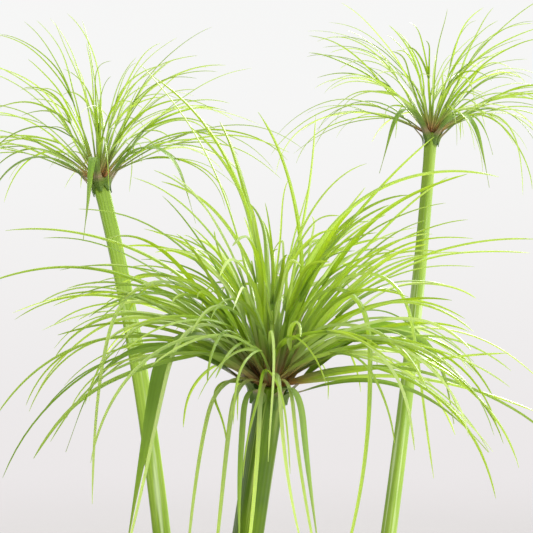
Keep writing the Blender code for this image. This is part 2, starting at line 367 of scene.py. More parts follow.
class SharedEffects:
    """The shader node groups that several finishes use, each built once."""

    def __init__(self) -> None:
        """Build the groups."""
        self._veins = self._build_veins()
        self._mottle = self._build_mottle()

    @staticmethod
    def _build_veins() -> bpy.types.NodeTree:
        """Fine ribs that run along a blade or stem, on the UV map's cross direction.

        Returns:
            The node group.
        """
        group, kit = new_group(
            "ribs_along_blade",
            (
                ("UV", VECTOR, None),
                ("Colour", COLOUR, None),
                ("Ribs", NUMBER, 5.0),
                ("Depth", NUMBER, 0.3),
            ),
            (("Colour", COLOUR), ("Height", NUMBER)),
        )
        given = kit.add("GroupInput").outputs
        across = kit.math("MULTIPLY", kit.part(given["UV"], "X"), given["Ribs"])
        wander = kit.noise(given["UV"], 6.0, 2.0)
        across = kit.math("ADD", across, kit.math("MULTIPLY", wander, 0.35))
        wave = kit.math("SINE", kit.math("MULTIPLY", across, math.tau))
        rib = kit.math("MULTIPLY_ADD", wave, 0.5)
        rib.node.inputs[2].default_value = 0.5
        dark = kit.mix(0.55, given["Colour"], (0.02, 0.06, 0.005))
        share = kit.math("MULTIPLY", rib, given["Depth"])
        kit.fill(kit.add("GroupOutput"), Colour=kit.mix(share, given["Colour"], dark), Height=rib)
        return group

    @staticmethod
    def _build_mottle() -> bpy.types.NodeTree:
        """Soft cloudy change between two colours.

        Returns:
            The node group.
        """
        group, kit = new_group(
            "cloudy_tint",
            (
                ("Place", VECTOR, None),
                ("Colour", COLOUR, None),
                ("Tint", COLOUR, None),
                ("Amount", NUMBER, 0.4),
                ("Scale", NUMBER, 30.0),
            ),
            (("Colour", COLOUR), ("Cloud", NUMBER)),
        )
        given = kit.add("GroupInput").outputs
        soft = kit.span(kit.noise(given["Place"], given["Scale"], 4.0), 0.35, 0.68)
        share = kit.math("MULTIPLY", soft, given["Amount"])
        tinted = kit.mix(share, given["Colour"], given["Tint"])
        kit.fill(kit.add("GroupOutput"), Colour=tinted, Cloud=soft)
        return group

    def mottled(
        self, kit: NodeKit, colour: object, tint: tuple, amount: float, scale: float
    ) -> tuple[bpy.types.NodeSocket, bpy.types.NodeSocket]:
        """Cloud a colour with a tint.

        Args:
            kit: the material's kit.
            colour: the colour underneath.
            tint: the colour of the clouds.
            amount: how strong they are, 0 to 1.
            scale: how many there are in about a metre.

        Returns:
            The clouded colour and the clouds themselves.
        """
        node = kit.add("Group", node_tree=self._mottle)
        kit.fill(node, Place=kit.place(), Colour=colour, Tint=tint, Amount=amount, Scale=scale)
        return node.outputs["Colour"], node.outputs["Cloud"]

    def ribbed(
        self, kit: NodeKit, colour: object, ribs: float, depth: float
    ) -> tuple[bpy.types.NodeSocket, bpy.types.NodeSocket]:
        """Draw ribs along a blade or stem.

        Args:
            kit: the material's kit.
            colour: the colour underneath.
            ribs: how many ribs lie across it.
            depth: how dark they are, 0 to 1.

        Returns:
            The ribbed colour and the ribs' height.
        """
        node = kit.add("Group", node_tree=self._veins)
        kit.fill(node, UV=kit.uv(), Colour=colour, Ribs=ribs, Depth=depth)
        return node.outputs["Colour"], node.outputs["Height"]


def new_material(name: str) -> tuple[bpy.types.Material, NodeKit, bpy.types.Node]:
    """Make a material with a Principled shader.

    Args:
        name: the material's name.

    Returns:
        The material, its kit and the shader's node.
    """
    made = bpy.data.materials.new(name)
    made.use_nodes = True
    return made, NodeKit(made.node_tree), made.node_tree.nodes["Principled BSDF"]


# ================================================================ finishes


@dataclass(frozen=True)
class LeafFinish:
    """Living green blade: ribs, a colour that changes from base to tip, a painted highlight, a
    painted shaded half and light through it.

    The mesh carries three point attributes: along (0 at the hub, 1 at the tip), shade (one
    number for each strand) and glow (how strongly a painted highlight, a pale sunlit tint, covers
    the strand).
    """

    name: str
    stops: tuple
    pale: tuple
    deep: tuple
    # Strength of the painted highlight: a pale tint on strands that are to look sunlit.
    painted_highlight_amount: float
    deep_amount: float
    through: float
    through_tint: tuple
    ribs: float
    rib_depth: float
    rib_bump: float
    # Strength of the painted shade on the far half of each blade's fold.
    painted_shade_depth: float
    roughness: float
    sheen: float = 0.34

    def make(self, effects: SharedEffects) -> bpy.types.Material:
        """Build the material.

        Args:
            effects: the shared node groups.

        Returns:
            The material.
        """
        made, kit, shader = new_material(self.name)
        along = kit.attribute("along")
        deepest = kit.span(along, 0.10, 0.34, (0.40 * self.deep_amount, self.deep_amount))
        shaded = kit.math("MULTIPLY", kit.attribute("shade"), deepest)
        colour = kit.mix(shaded, kit.ramp(along, self.stops), self.deep)
        beyond_base = kit.span(along, 0.06, 0.30)
        # Painted highlight: chosen strands are tinted pale beyond the base, as if sunlit and
        # shining.
        painted_highlight_share = kit.math("MULTIPLY", kit.attribute("painted_highlight"), self.painted_highlight_amount)
        colour = kit.mix(kit.math("MULTIPLY", painted_highlight_share, beyond_base), colour, self.pale)
        colour, cloud = effects.mottled(kit, colour, self.pale, amount=0.10, scale=55.0)
        # Painted shade: the far half of each blade's fold is darkened towards the deep green, as if
        # turned from the light.
        painted_shade_half = kit.span(kit.part(kit.uv(), "X"), 0.44, 0.56)
        painted_shade_share = kit.math("MULTIPLY", painted_shade_half, self.painted_shade_depth)
        with_painted_shade = kit.mix(painted_shade_share, colour, self.deep)
        colour, ridges = effects.ribbed(kit, with_painted_shade, self.ribs, self.rib_depth)
        kit.put(shader.inputs["Base Color"], colour)
        kit.put(shader.inputs["Normal"], kit.relief(ridges, self.rib_bump, distance=0.0002))
        rough = kit.span(cloud, 0.0, 1.0, (self.roughness, self.roughness + 0.14))
        kit.put(shader.inputs["Roughness"], rough)
        shader.inputs["Specular IOR Level"].default_value = self.sheen
        thin = kit.add("BsdfTranslucent")
        warmed = kit.mix(0.65, colour, self.through_tint)
        kit.put(thin.inputs["Color"], kit.mix(kit.span(along, 0.10, 0.32), colour, warmed))
        both = kit.add("MixShader")
        both.inputs[0].default_value = self.through
        kit.join(shader.outputs[0], both.inputs[1])
        kit.join(thin.outputs[0], both.inputs[2])
        kit.join(both.outputs[0], made.node_tree.nodes["Material Output"].inputs[0])
        return made


@dataclass(frozen=True)
class StemFinish:
    """Smooth waxy stem with fine ribs and pale streaks of wax, paler towards its top."""

    name: str
    low_colour: tuple
    high_colour: tuple
    tint: tuple
    streak: tuple
    low_height: float
    high_height: float
    ribs: float = 30.0
    sheen: float = 0.20

    def make(self, effects: SharedEffects) -> bpy.types.Material:
        """Build the material.

        Args:
            effects: the shared node groups.

        Returns:
            The material.
        """
        made, kit, shader = new_material(self.name)
        rise = kit.span(kit.part(kit.place(), "Z"), self.low_height, self.high_height)
        colour = kit.mix(rise, self.low_colour, self.high_colour)
        colour, cloud = effects.mottled(kit, colour, self.tint, amount=0.45, scale=38.0)
        drawn_out = kit.scaled(kit.uv(), (15.0, 7.0, 1.0))
        wax = kit.span(kit.noise(drawn_out, 1.0), 0.52, 0.70, (0.0, 0.55))
        streaked = kit.mix(wax, colour, self.streak)
        colour, ridges = effects.ribbed(kit, streaked, self.ribs, depth=0.30)
        kit.put(shader.inputs["Base Color"], colour)
        kit.put(shader.inputs["Normal"], kit.relief(ridges, strength=0.3, distance=0.0003))
        kit.put(shader.inputs["Roughness"], kit.span(cloud, 0.0, 1.0, (0.44, 0.62)))
        shader.inputs["Specular IOR Level"].default_value = self.sheen
        return made


@dataclass(frozen=True)
class SheathFinish:
    """Dry papery sleeve, brown and streaked along its fibres."""

    name: str
    light: tuple
    dark: tuple

    def make(self, effects: SharedEffects) -> bpy.types.Material:
        """Build the material.

        Args:
            effects: the shared node groups.

        Returns:
            The material.
        """
        made, kit, shader = new_material(self.name)
        fibre = kit.noise(kit.scaled(kit.uv(), (60.0, 4.0, 1.0)), 1.0, 5.0)
        colour = kit.mix(kit.span(fibre, 0.35, 0.65), self.dark, self.light)
        colour, _ = effects.mottled(kit, colour, self.dark, amount=0.6, scale=70.0)
        kit.put(shader.inputs["Base Color"], colour)
        kit.put(shader.inputs["Normal"], kit.relief(fibre, strength=0.5, distance=0.0005))
        kit.put(shader.inputs["Roughness"], kit.span(fibre, 0.3, 0.7, (0.66, 0.86)))
        return made


@dataclass(frozen=True)
class GlazeFinish:
    """Satin glaze with small flecks and soft throwing rings, bare at the foot."""

    name: str
    glaze: tuple
    fleck: tuple
    clay: tuple
    foot_height: float

    def make(self, effects: SharedEffects) -> bpy.types.Material:
        """Build the material.

        Args:
            effects: the shared node groups.

        Returns:
            The material.
        """
        made, kit, shader = new_material(self.name)
        place = kit.place()
        deeper_glaze = tuple(0.88 * c for c in self.glaze)
        glazed, cloud = effects.mottled(kit, self.glaze, deeper_glaze, amount=0.7, scale=14.0)
        speck = kit.fill(kit.add("TexVoronoi", feature="F1"), Vector=place, Scale=260.0)
        size = kit.span(kit.noise(place, 90.0, 2.0), 0.50, 0.75, (0.0, 0.26))
        dot = kit.math("LESS_THAN", speck.outputs["Distance"], size)
        flecked = kit.mix(kit.math("MULTIPLY", dot, 0.55), glazed, self.fleck)
        wobble = kit.math("MULTIPLY", kit.noise(place, 22.0, 2.0), 0.004)
        edge = kit.math("ADD", kit.part(place, "Z"), wobble)
        bare = kit.span(edge, self.foot_height, self.foot_height + 0.0015, (1.0, 0.0))
        grain = kit.noise(place, 420.0)
        darker_clay = tuple(0.72 * c for c in self.clay)
        clay = kit.mix(kit.span(grain, 0.3, 0.7), self.clay, darker_clay)
        kit.put(shader.inputs["Base Color"], kit.mix(bare, flecked, clay))
        satin = kit.span(cloud, 0.0, 1.0, (0.24, 0.34))
        kit.put(shader.inputs["Roughness"], kit.math("ADD", satin, kit.math("MULTIPLY", bare, 0.5)))
        rings = kit.noise(kit.scaled(place, (8.0, 8.0, 90.0)), 1.0, 2.0)
        height = kit.math("ADD", rings, kit.math("MULTIPLY", grain, bare))
        kit.put(shader.inputs["Normal"], kit.relief(height, strength=0.18, distance=0.0006))
        return made


@dataclass(frozen=True)
class SoilFinish:
    """Dark crumbly potting soil with paler fibres and grit."""

    name: str
    damp: tuple
    dry: tuple
    fibre: tuple

    def make(self, effects: SharedEffects) -> bpy.types.Material:
        """Build the material.

        Args:
            effects: the shared node groups.

        Returns:
            The material.
        """
        made, kit, shader = new_material(self.name)
        place = kit.place()
        coarse = kit.noise(place, 60.0, 5.0)
        fine = kit.noise(place, 620.0, 4.0)
        colour = kit.mix(kit.span(coarse, 0.35, 0.7), self.damp, self.dry)
        grit = kit.math("MULTIPLY", kit.span(fine, 0.58, 0.72), 0.6)
        colour = kit.mix(grit, colour, self.fibre)
        colour, _ = effects.mottled(kit, colour, self.damp, amount=0.5, scale=180.0)
        kit.put(shader.inputs["Base Color"], colour)
        height = kit.math("ADD", coarse, fine)
        kit.put(shader.inputs["Normal"], kit.relief(height, strength=0.8, distance=0.001))
        kit.put(shader.inputs["Roughness"], kit.span(coarse, 0.3, 0.7, (0.80, 0.97)))
        return made


RAY_GREEN = LeafFinish(
    name="ray_green",
    stops=(
        (0.00, (0.760, 0.330, 0.150)),
        (0.05, (0.820, 0.520, 0.260)),
        (0.10, (0.620, 0.560, 0.200)),
        (0.20, (0.340, 0.480, 0.050)),
        (0.55, (0.300, 0.460, 0.060)),
        (1.00, (0.440, 0.550, 0.130)),
    ),
    pale=(0.74, 0.82, 0.52),
    deep=(0.040, 0.135, 0.006),
    painted_highlight_amount=1.0,
    deep_amount=0.76,
    through=0.56,
    through_tint=(0.80, 0.93, 0.040),
    ribs=1.0,
    rib_depth=0.08,
    rib_bump=0.02,
    painted_shade_depth=0.36,
    roughness=0.34,
)
BRACT_GREEN = LeafFinish(
    name="bract_green",
    stops=(
        (0.00, (0.100, 0.230, 0.006)),
        (0.06, (0.240, 0.360, 0.050)),
        (0.10, (0.560, 0.400, 0.240)),
        (0.16, (0.200, 0.320, 0.020)),
        (0.55, (0.150, 0.310, 0.005)),
        (1.00, (0.330, 0.360, 0.080)),
    ),
    pale=(0.64, 0.76, 0.36),
    deep=(0.030, 0.105, 0.003),
    painted_highlight_amount=0.60,
    deep_amount=0.66,
    through=0.46,
    through_tint=(0.66, 0.84, 0.020),
    ribs=5.0,
    rib_depth=0.30,
    rib_bump=0.14,
    painted_shade_depth=0.24,
    roughness=0.34,
)
CULM_GREEN = StemFinish(
    name="culm_green",
    low_colour=(0.045, 0.100, 0.001),
    high_colour=(0.064, 0.132, 0.001),
    tint=(0.160, 0.262, 0.002),
    streak=(0.400, 0.500, 0.120),
    low_height=0.20,
    high_height=0.72,
)
YOUNG_CULM_GREEN = StemFinish(
    name="young_culm_green",
    low_colour=(0.100, 0.190, 0.008),
    high_colour=(0.200, 0.330, 0.024),
    tint=(0.300, 0.420, 0.060),
    streak=(0.600, 0.720, 0.400),
    low_height=0.20,
    high_height=0.75,
)
SHEATH_BROWN = SheathFinish(
    name="sheath_brown",
    light=(0.34, 0.19, 0.085),
    dark=(0.11, 0.050, 0.022),
)
POT_GLAZE = GlazeFinish(
    name="pot_glaze",
    glaze=(0.30, 0.285, 0.255),
    fleck=(0.13, 0.09, 0.06),
    clay=(0.34, 0.20, 0.12),
    foot_height=0.006,
)
POTTING_SOIL = SoilFinish(
    name="potting_soil",
    damp=(0.020, 0.012, 0.007),
    dry=(0.085, 0.052, 0.030),
    fibre=(0.23, 0.15, 0.085),
)


# ================================================================ strands: blades made in bulk


class Fold(Enum):
    """How a strand's section is folded, as the rise of its edges over half its width."""

    KEELED = 0.55
    OPEN = 0.28


@dataclass
class StrandBatch:
    """Many folded blades gathered as arrays and made into one closed mesh.

    Each blade's section has four corners: two edges, the upper side of the fold and the
    lower side. A blade is closed at both ends by a face.
    """

    fold: Fold
    thickness: float
    points: list = field(default_factory=list)
    faces: list = field(default_factory=list)
    along: list = field(default_factory=list)
    shade: list = field(default_factory=list)
    painted_highlight: list = field(default_factory=list)
    across: list = field(default_factory=list)
    count: int = 0

    def add(
        self,
        line: np.ndarray,
        side: np.ndarray,
        width: np.ndarray,
        along: np.ndarray,
        shade: float,
        painted_highlight: float,
        roll: float = 0.0,
        thickness: float | None = None,
    ) -> None:
        """Add one blade.

        Args:
            line: its centre line, one row for each station.
            side: the direction across the blade at each station.
            width: its full width at each station.
            along: the attribute that colours it from hub to tip, at each station.
            shade: how deep its green is, 0 to 1.
            painted_highlight: how strongly it is tinted pale as a painted highlight, 0 to 1.
            roll: how far it turns about its own line by its tip, in degrees.
            thickness: its thickness, or the batch's own.
        """
        thick = thickness or self.thickness
        ahead = unit(np.gradient(line, axis=0))
        side = unit(side - ahead * np.sum(side * ahead, axis=1, keepdims=True))
        above = unit(np.cross(side, ahead))
        if roll:
            turn = np.radians(roll) * np.asarray(eased(along / 0.35 + 0.3))[:, None]
            side, above = (
                side * np.cos(turn) + above * np.sin(turn),
                above * np.cos(turn) - side * np.sin(turn),
            )
        half = (width / 2)[:, None]
        lift = half * self.fold.value
        body = np.minimum(thick, width * 0.45)[:, None]
        ring = np.stack(
            (
                line - side * half + above * lift,
                line + above * body * 0.5,
                line + side * half + above * lift,
                line - above * body * 0.5,
            ),
            axis=1,
        )
        rings = len(line)
        base = self.count
        self.points.append(ring.reshape(-1, 3))
        for i in range(rings - 1):
            a, b = base + 4 * i, base + 4 * (i + 1)
            for k in range(4):
                n = (k + 1) % 4
                self.faces.append((a + k, b + k, b + n, a + n))
        self.faces.append((base, base + 1, base + 2, base + 3))
        last = base + 4 * (rings - 1)
        self.faces.append((last + 3, last + 2, last + 1, last))
        self.along.append(np.repeat(along, 4))
        self.shade.append(np.full(4 * rings, shade))
        self.painted_highlight.append(np.full(4 * rings, painted_highlight))
        self.across.append(np.tile(np.array((0.0, 0.5, 1.0, 0.5)), rings))
        self.count += 4 * rings

    def make(self, name: str) -> bpy.types.Object:
        """One mesh object of all the blades, with its attributes and UV map.

        Args:
            name: the object's name.

        Returns:
            The object, linked to the scene.
        """
        mesh = bpy.data.meshes.new(name)
        points = np.concatenate(self.points)
        mesh.from_pydata(points.tolist(), [], self.faces)
        mesh.update()
        along, across = np.concatenate(self.along), np.concatenate(self.across)
        for label, values in (
            ("along", along),
            ("shade", np.concatenate(self.shade)),
            ("painted_highlight", np.concatenate(self.painted_highlight)),
        ):
            made = mesh.attributes.new(label, "FLOAT", "POINT")
            made.data.foreach_set("value", values.astype(np.float32))
        uv = mesh.uv_layers.new(name="UVMap")
        corners = np.empty(len(mesh.loops), np.int32)
        mesh.loops.foreach_get("vertex_index", corners)
        flat = np.stack((across[corners], along[corners]), axis=1)
        uv.data.foreach_set("uv", flat.astype(np.float32).ravel())
        piece = bpy.data.objects.new(name, mesh)
        bpy.context.scene.collection.objects.link(piece)
        return piece


@dataclass(frozen=True)
class Bend:
    """A line that leaves a point, bends in a vertical plane under its weight and may drift.

    It bends all the way, faster later where ease is over 1, or only round its crest, if
    it has one, over a softness share of its length. Past the crest it may curl on and bow
    to one side, and it wavers a few degrees all along.
    """

    azimuth: float
    rise: float
    fall: float
    length: float
    ease: float = 1.2
    drift: float = 0.0
    crest: float = 0.0
    softness: float = 0.4
    curl: float = 0.0
    bow: float = 0.0
    waver: float = 2.2

    def line(self, start: np.ndarray, stations: int) -> tuple[np.ndarray, np.ndarray]:
        """Trace the line.

        Args:
            start: where it begins.
            stations: how many points it has.

        Returns:
            Its points and the direction across it at each.
        """
        t = np.linspace(0.0, 1.0, stations)
        middle = (t[:-1] + t[1:]) / 2
        bent = middle**self.ease
        if self.crest:
            bent = eased((middle - self.crest) / self.softness + 0.5)
        phase = self.azimuth * 0.37 + self.rise
        waver = self.waver * np.sin(middle * 8.3 + phase) * np.minimum(1.0, middle * 4.0)
        curl = self.curl * np.maximum(0.0, middle - self.crest)
        slope = np.radians(self.rise + (self.fall - self.rise) * bent + curl + waver)
        sway = 2.0 * self.waver * np.sin(middle * 6.1 + 2.0 * phase)
        turn = np.radians(self.azimuth + self.drift * middle + sway)
        step = self.length / (stations - 1)
        steps = step * np.stack(
            (np.cos(slope) * np.cos(turn), np.cos(slope) * np.sin(turn), np.sin(slope)), axis=1
        )
        points = np.vstack((start, start + np.cumsum(steps, axis=0)))
        at = np.radians(self.azimuth + self.drift * t)
        side = np.stack((-np.sin(at), np.cos(at), np.zeros(stations)), axis=1)
        past = np.maximum(0.0, t - self.crest) / max(1.0 - self.crest, 0.1)
        points = points + side * (self.bow * self.length * past**2)[:, None]
        return points, side


# ================================================================ stems


@dataclass(frozen=True)
class StemRoute:
    """A stem's centre line: a curve from its foot in the soil, past a bend, to its tip."""

    foot: tuple
    bend: tuple
    tip: tuple
    foot_radius: float
    tip_radius: float

    def at(self, t: np.ndarray) -> np.ndarray:
        """Find points on the centre line.

        Args:
            t: shares of the length, from the foot at 0 to the tip at 1.

        Returns:
            The point at each share.
        """
        t = np.asarray(t, float)[:, None]
        foot, bend, tip = (np.array(p) for p in (self.foot, self.bend, self.tip))
        return foot * (1 - t) ** 2 + bend * (2 * t * (1 - t)) + tip * t**2

    def radius(self, t: np.ndarray) -> np.ndarray:
        """The stem's radius at these shares of its length."""
        return self.foot_radius + (self.tip_radius - self.foot_radius) * np.asarray(t, float)

    def axis(self) -> np.ndarray:
        """The direction in which the stem points at its tip."""
        return unit(np.array(self.tip) - np.array(self.bend))

    def share_at(self, height: float) -> float:
        """The share of the length at which the stem reaches a height."""
        shares = np.linspace(0.0, 1.0, 2001)
        return float(np.interp(height, self.at(shares)[:, 2], shares))


@dataclass
class TriangularTube:
    """A stem or sleeve of the sedge's blunt triangular section, extruded ring by ring."""

    name: str
    route: StemRoute
    start: float
    end: float
    rings: int
    corner_centre: float = 0.62
    corner_half_angle: float = 52.0
    side_bulge: float = 1.04
    first_corner: float = 112.0
    points_each_corner: int = 5
    ring_step: float = 0.01

    def section(self) -> list[Vector]:
        """Draw the closed section of radius 1 in the level plane, its three corners rounded.

        Returns:
            Its points in order.
        """
        found = []
        half, steps = self.corner_half_angle, self.points_each_corner - 1
        for corner in range(3):
            facing = math.radians(self.first_corner + 120 * corner)
            centre = Vector((math.cos(facing), math.sin(facing), 0.0)) * self.corner_centre
            for i in range(self.points_each_corner):
                turn = facing + math.radians(-half + 2 * half * i / steps)
                reach = 1.0 - self.corner_centre
                found.append(centre + Vector((math.cos(turn), math.sin(turn), 0.0)) * reach)
            ahead = math.radians(self.first_corner + 120 * (corner + 1))
            far = Vector((math.cos(ahead), math.sin(ahead), 0.0)) * self.corner_centre
            middle = (centre + far) / 2
            bulge = math.radians(self.first_corner + 60 + 120 * corner)
            outward = Vector((math.cos(bulge), math.sin(bulge), 0.0))
            found.append(middle + outward * (1.0 - self.corner_centre) * self.side_bulge)
        return found

    def build(self, radii: np.ndarray, swell: float = 1.0, closed: bool = True) -> bpy.types.Object:
        """Extrude the tube.

        Args:
            radii: its radius at each ring.
            swell: how much wider its last ring is.
            closed: whether both ends are filled.

        Returns:
            The mesh object, with a UV map round and along it.
        """
        shares = np.linspace(self.start, self.end, self.rings)
        path = self.route.at(shares)
        ahead = unit(np.gradient(path, axis=0))
        section = self.section()
        clear_selection()
        bpy.ops.mesh.primitive_circle_add(vertices=len(section), radius=1.0, fill_type="NOTHING")
        piece = bpy.context.active_object
        piece.name = self.name
        piece.data.name = self.name
        for vertex, place in zip(piece.data.vertices, section):
            vertex.co = place
        bpy.ops.object.mode_set(mode="EDIT")
        bpy.ops.mesh.select_all(action="SELECT")
        for _ in range(self.rings - 1):
            move = {"value": (0.0, 0.0, self.ring_step)}
            bpy.ops.mesh.extrude_region_move(TRANSFORM_OT_translate=move)
        bpy.ops.object.mode_set(mode="OBJECT")
        self._lay_along(piece, path, ahead, radii, swell)
        if closed:
            self._fill_ends(piece)
        return piece

    def _lay_along(
        self,
        piece: bpy.types.Object,
        path: np.ndarray,
        ahead: np.ndarray,
        radii: np.ndarray,
        swell: float,
    ) -> None:
        """Place each ring on the route and write the UV map.

        Args:
            piece: the straight tube.
            path: where each ring goes.
            ahead: the direction that each ring faces.
            radii: the radius of each ring.
            swell: how much wider the last ring is.
        """
        mesh = piece.data
        rings = len(path)
        heights = np.array([v.co.z for v in mesh.vertices])
        order = {}
        for index, ring in enumerate(np.rint(heights / self.ring_step).astype(int)):
            order.setdefault(ring, []).append(index)
        flat = np.array([(p.x, p.y) for p in self.section()])
        spot = np.zeros((len(mesh.vertices), 2))
        for ring, members in order.items():
            turn = Vector(ahead[ring]).to_track_quat("Z", "Y").to_matrix()
            radius = radii[ring] * (swell if ring == rings - 1 else 1.0)
            for index in members:
                co = mesh.vertices[index].co
                near = int(np.argmin(np.linalg.norm(flat - np.array((co.x, co.y)), axis=1)))
                placed = turn @ Vector((flat[near][0] * radius, flat[near][1] * radius, 0.0))
                mesh.vertices[index].co = Vector(path[ring]) + placed
                spot[index] = (near / len(flat), ring / (rings - 1))
        uv = mesh.uv_layers.get("UVMap") or mesh.uv_layers.new(name="UVMap")
        for face in mesh.polygons:
            us = [spot[mesh.loops[i].vertex_index][0] for i in face.loop_indices]
            wraps = max(us) - min(us) > 0.5
            for i, u in zip(face.loop_indices, us):
                v = spot[mesh.loops[i].vertex_index][1]
                uv.data[i].uv = (u + 1.0 if wraps and u < 0.5 else u, v)

    @staticmethod
    def _fill_ends(piece: bpy.types.Object) -> None:
        """Close the tube's two open rims and turn its faces outwards.

        Args:
            piece: the open tube.
        """
        make_active(piece)
        bpy.ops.object.mode_set(mode="EDIT")
        bpy.ops.mesh.select_all(action="DESELECT")
        bpy.ops.mesh.select_mode(type="VERT")
        bpy.ops.mesh.select_non_manifold()
        bpy.ops.mesh.fill_holes(sides=0)
        face_outward(piece)


@dataclass
class Culm:
    """A stem and its papery sleeve, whose top is torn on a slant."""

    name: str
    route: StemRoute
    finish: bpy.types.Material
    sheath_finish: bpy.types.Material
    swell: float = 1.10
    rings: int = 34
    smooth_angle: float = 40.0
    sleeve_rings: int = 12
    sleeve_gap: float = 0.0010
    sleeve_flare: float = 0.0009
    sleeve_wall: float = 0.0006
    torn_length: float = 0.034
    torn_slant: float = 0.018
    torn_waves: float = 0.004

    def build(self) -> None:
        """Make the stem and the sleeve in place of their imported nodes."""
        tube = TriangularTube(f"{self.name}_stem_skin", self.route, 0.0, 1.0, self.rings)
        shares = np.linspace(0.0, 1.0, self.rings)
        piece = tube.build(self.route.radius(shares), swell=self.swell)
        node = f"{self.name}_culm" if self.swell > 1.0 else f"{self.name}_stem"
        dress(piece, self.finish, self.smooth_angle, node)
        self._build_sheath()

    def _build_sheath(self) -> None:
        """The sleeve: it fits close, flares at its torn top and stands in the soil."""
        low, high = box_of(f"{self.name}_sheath")
        start = self.route.share_at(float(low[2]))
        end = self.route.share_at(float(high[2]) - 0.002)
        tube = TriangularTube(f"{self.name}_sleeve", self.route, start, end, self.sleeve_rings)
        shares = np.linspace(start, end, self.sleeve_rings)
        rising = np.linspace(0.0, 1.0, self.sleeve_rings)
        gap = self.sleeve_gap + self.sleeve_flare * rising**4
        piece = tube.build(self.route.radius(shares) + gap, closed=False)
        self._tear(piece, float(high[2]))
        wall = piece.modifiers.new("wall", "SOLIDIFY")
        wall.thickness = self.sleeve_wall
        wall.offset = 1.0
        make_active(piece)
        bpy.ops.object.modifier_apply(modifier=wall.name)
        face_outward(piece)
        node = f"{self.name}_sheath"
        dress(piece, self.sheath_finish, self.smooth_angle, node)

    def _tear(self, piece: bpy.types.Object, top: float) -> None:
        """Cut the sleeve's upper end down on a slant with small waves.

        Args:
            piece: the sleeve.
            top: the height of its upper end.
        """
        for vertex in piece.data.vertices:
            share = (vertex.co.z - top + self.torn_length) / self.torn_length
            if share > 0.0:
                at = self.route.share_at(vertex.co.z)
                beside = np.array(vertex.co) - self.route.at(np.array((at,)))[0]
                turn = math.atan2(beside[1], beside[0])
                slant = 0.5 + 0.5 * math.cos(turn + len(self.name))
                waves = self.torn_waves * math.sin(5.0 * turn)
                cut = share * (self.torn_slant * slant + waves + self.torn_waves)
                lower = self.route.share_at(vertex.co.z - cut)
                vertex.co = self.route.at(np.array((lower,)))[0] + beside


# ================================================================ umbels


@dataclass(frozen=True)
class BractShape:
    """One bract: it leaves the hub's side, crests and hangs."""

    azimuth: float
    rise: float
    fall: float
    crest: float
    softness: float
    length: float
    width: float
    shade: float = 0.4
    painted_highlight: float = 0.2
    roll: float = 0.0


@dataclass
class BractWhorl:
    """The leaf-like bracts under one umbel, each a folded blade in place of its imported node."""

    name: str
    route: StemRoute
    shapes: tuple
    finish: bpy.types.Material
    swell: float = 1.10
    stand_off: float = 0.0006
    drop: float = 0.003
    clasp: float = 0.007
    clasp_width: float = 0.0094
    base_detail: float = 1.35
    stations: int = 52
    smooth_angle: float = 25.0
    thickness: float = 0.00055
    thinnest: float = 0.0005
    wander: float = 0.0022
    twist: float = 8.0

    def build(self) -> None:
        """Make every bract of the whorl."""
        for number, shape in enumerate(self.shapes, start=1):
            self._build_one(number, shape)

    def _build_one(self, number: int, shape: BractShape) -> None:
        """Make one bract as its own piece: it clasps the culm, then leaves it.

        Args:
            number: its number in the whorl, from 1.
            shape: its line and size.
        """
        axis = self.route.axis()
        outward = heading(shape.azimuth)
        beside = unit(outward - axis * float(outward @ axis))
        reach = self.route.tip_radius * self.swell + self.stand_off
        start = np.array(self.route.tip) + beside * reach - axis * (self.drop + self.clasp)
        clasp_share = self.clasp / shape.length
        t = np.linspace(0.0, 1.0, self.stations) ** self.base_detail
        middle = (t[:-1] + t[1:]) / 2
        bent = eased((middle - clasp_share - shape.crest) / shape.softness + 0.5)
        slope = np.radians(shape.rise + (shape.fall - shape.rise) * bent)
        free = outward * np.cos(slope)[:, None] + UP * np.sin(slope)[:, None]
        leaves = np.asarray(eased(middle / (1.7 * clasp_share)))[:, None]
        steps = unit(axis * (1.0 - leaves) + free * leaves) * (shape.length * np.diff(t))[:, None]
        line = np.vstack((start, start + np.cumsum(steps, axis=0)))
        wander = np.sin(t * 4.0 + number) * self.wander * t
        across = np.cross(outward, UP)
        line = line + across * wander[:, None]
        swell = 0.72 + 0.28 * eased(t / 0.3)
        taper = 1.0 - eased((t - 0.35) / 0.65)
        width = np.maximum(shape.width * swell * (0.04 + 0.96 * taper), self.thinnest)
        grip = 1.0 - np.asarray(eased(t / (2.4 * clasp_share)))
        width = width + np.maximum(self.clasp_width - width, 0.0) * grip
        width = width * (0.25 + 0.75 * np.asarray(eased(t / clasp_share)))
        ahead = unit(np.gradient(line, axis=0))
        above = unit(np.cross(across, ahead))
        sway = self.twist * np.sin(t * 3.0 + number * 1.7)
        twist = np.radians(sway + shape.roll * eased(t / 0.3)) * (1.0 - grip)
        side = across * np.cos(twist)[:, None] + above * np.sin(twist)[:, None]
        batch = StrandBatch(Fold.OPEN, self.thickness)
        batch.add(line, side, width, t, shape.shade, shape.painted_highlight)
        node = f"{self.name}_bract_{number}"
        piece = batch.make(f"{node}_blade")
        dress(piece, self.finish, self.smooth_angle, node)


@dataclass(frozen=True)
class HeroRay:
    """A ray listed on its own, which doesn't split: its line and what its blade is like."""

    azimuth: float
    rise: float
    fall: float
    length: float
    ease: float = 1.2
    width: float = 0.0022
    drift: float = 0.0
    shade: float = 0.3
    painted_highlight: float = 0.3
    roll: float = 60.0
    crest: float = 0.0
    softness: float = 0.4
    curl: float = 0.0
    bow: float = 0.0

    def bend(self) -> Bend:
        """The line that the ray follows."""
        shared = ("azimuth", "rise", "fall", "length", "ease", "drift", "crest", "softness")
        return Bend(**{name: getattr(self, name) for name in (*shared, "curl", "bow")})


@dataclass(frozen=True)
class Stalk:
    """The lower part of a ray, below any split, as arrays over its stations, and its looks."""

    line: np.ndarray
    side: np.ndarray
    along: np.ndarray
    width: np.ndarray
    bend: Bend
    whole: float
    full_width: float
    shade: float
    painted_highlight: float
    roll: float


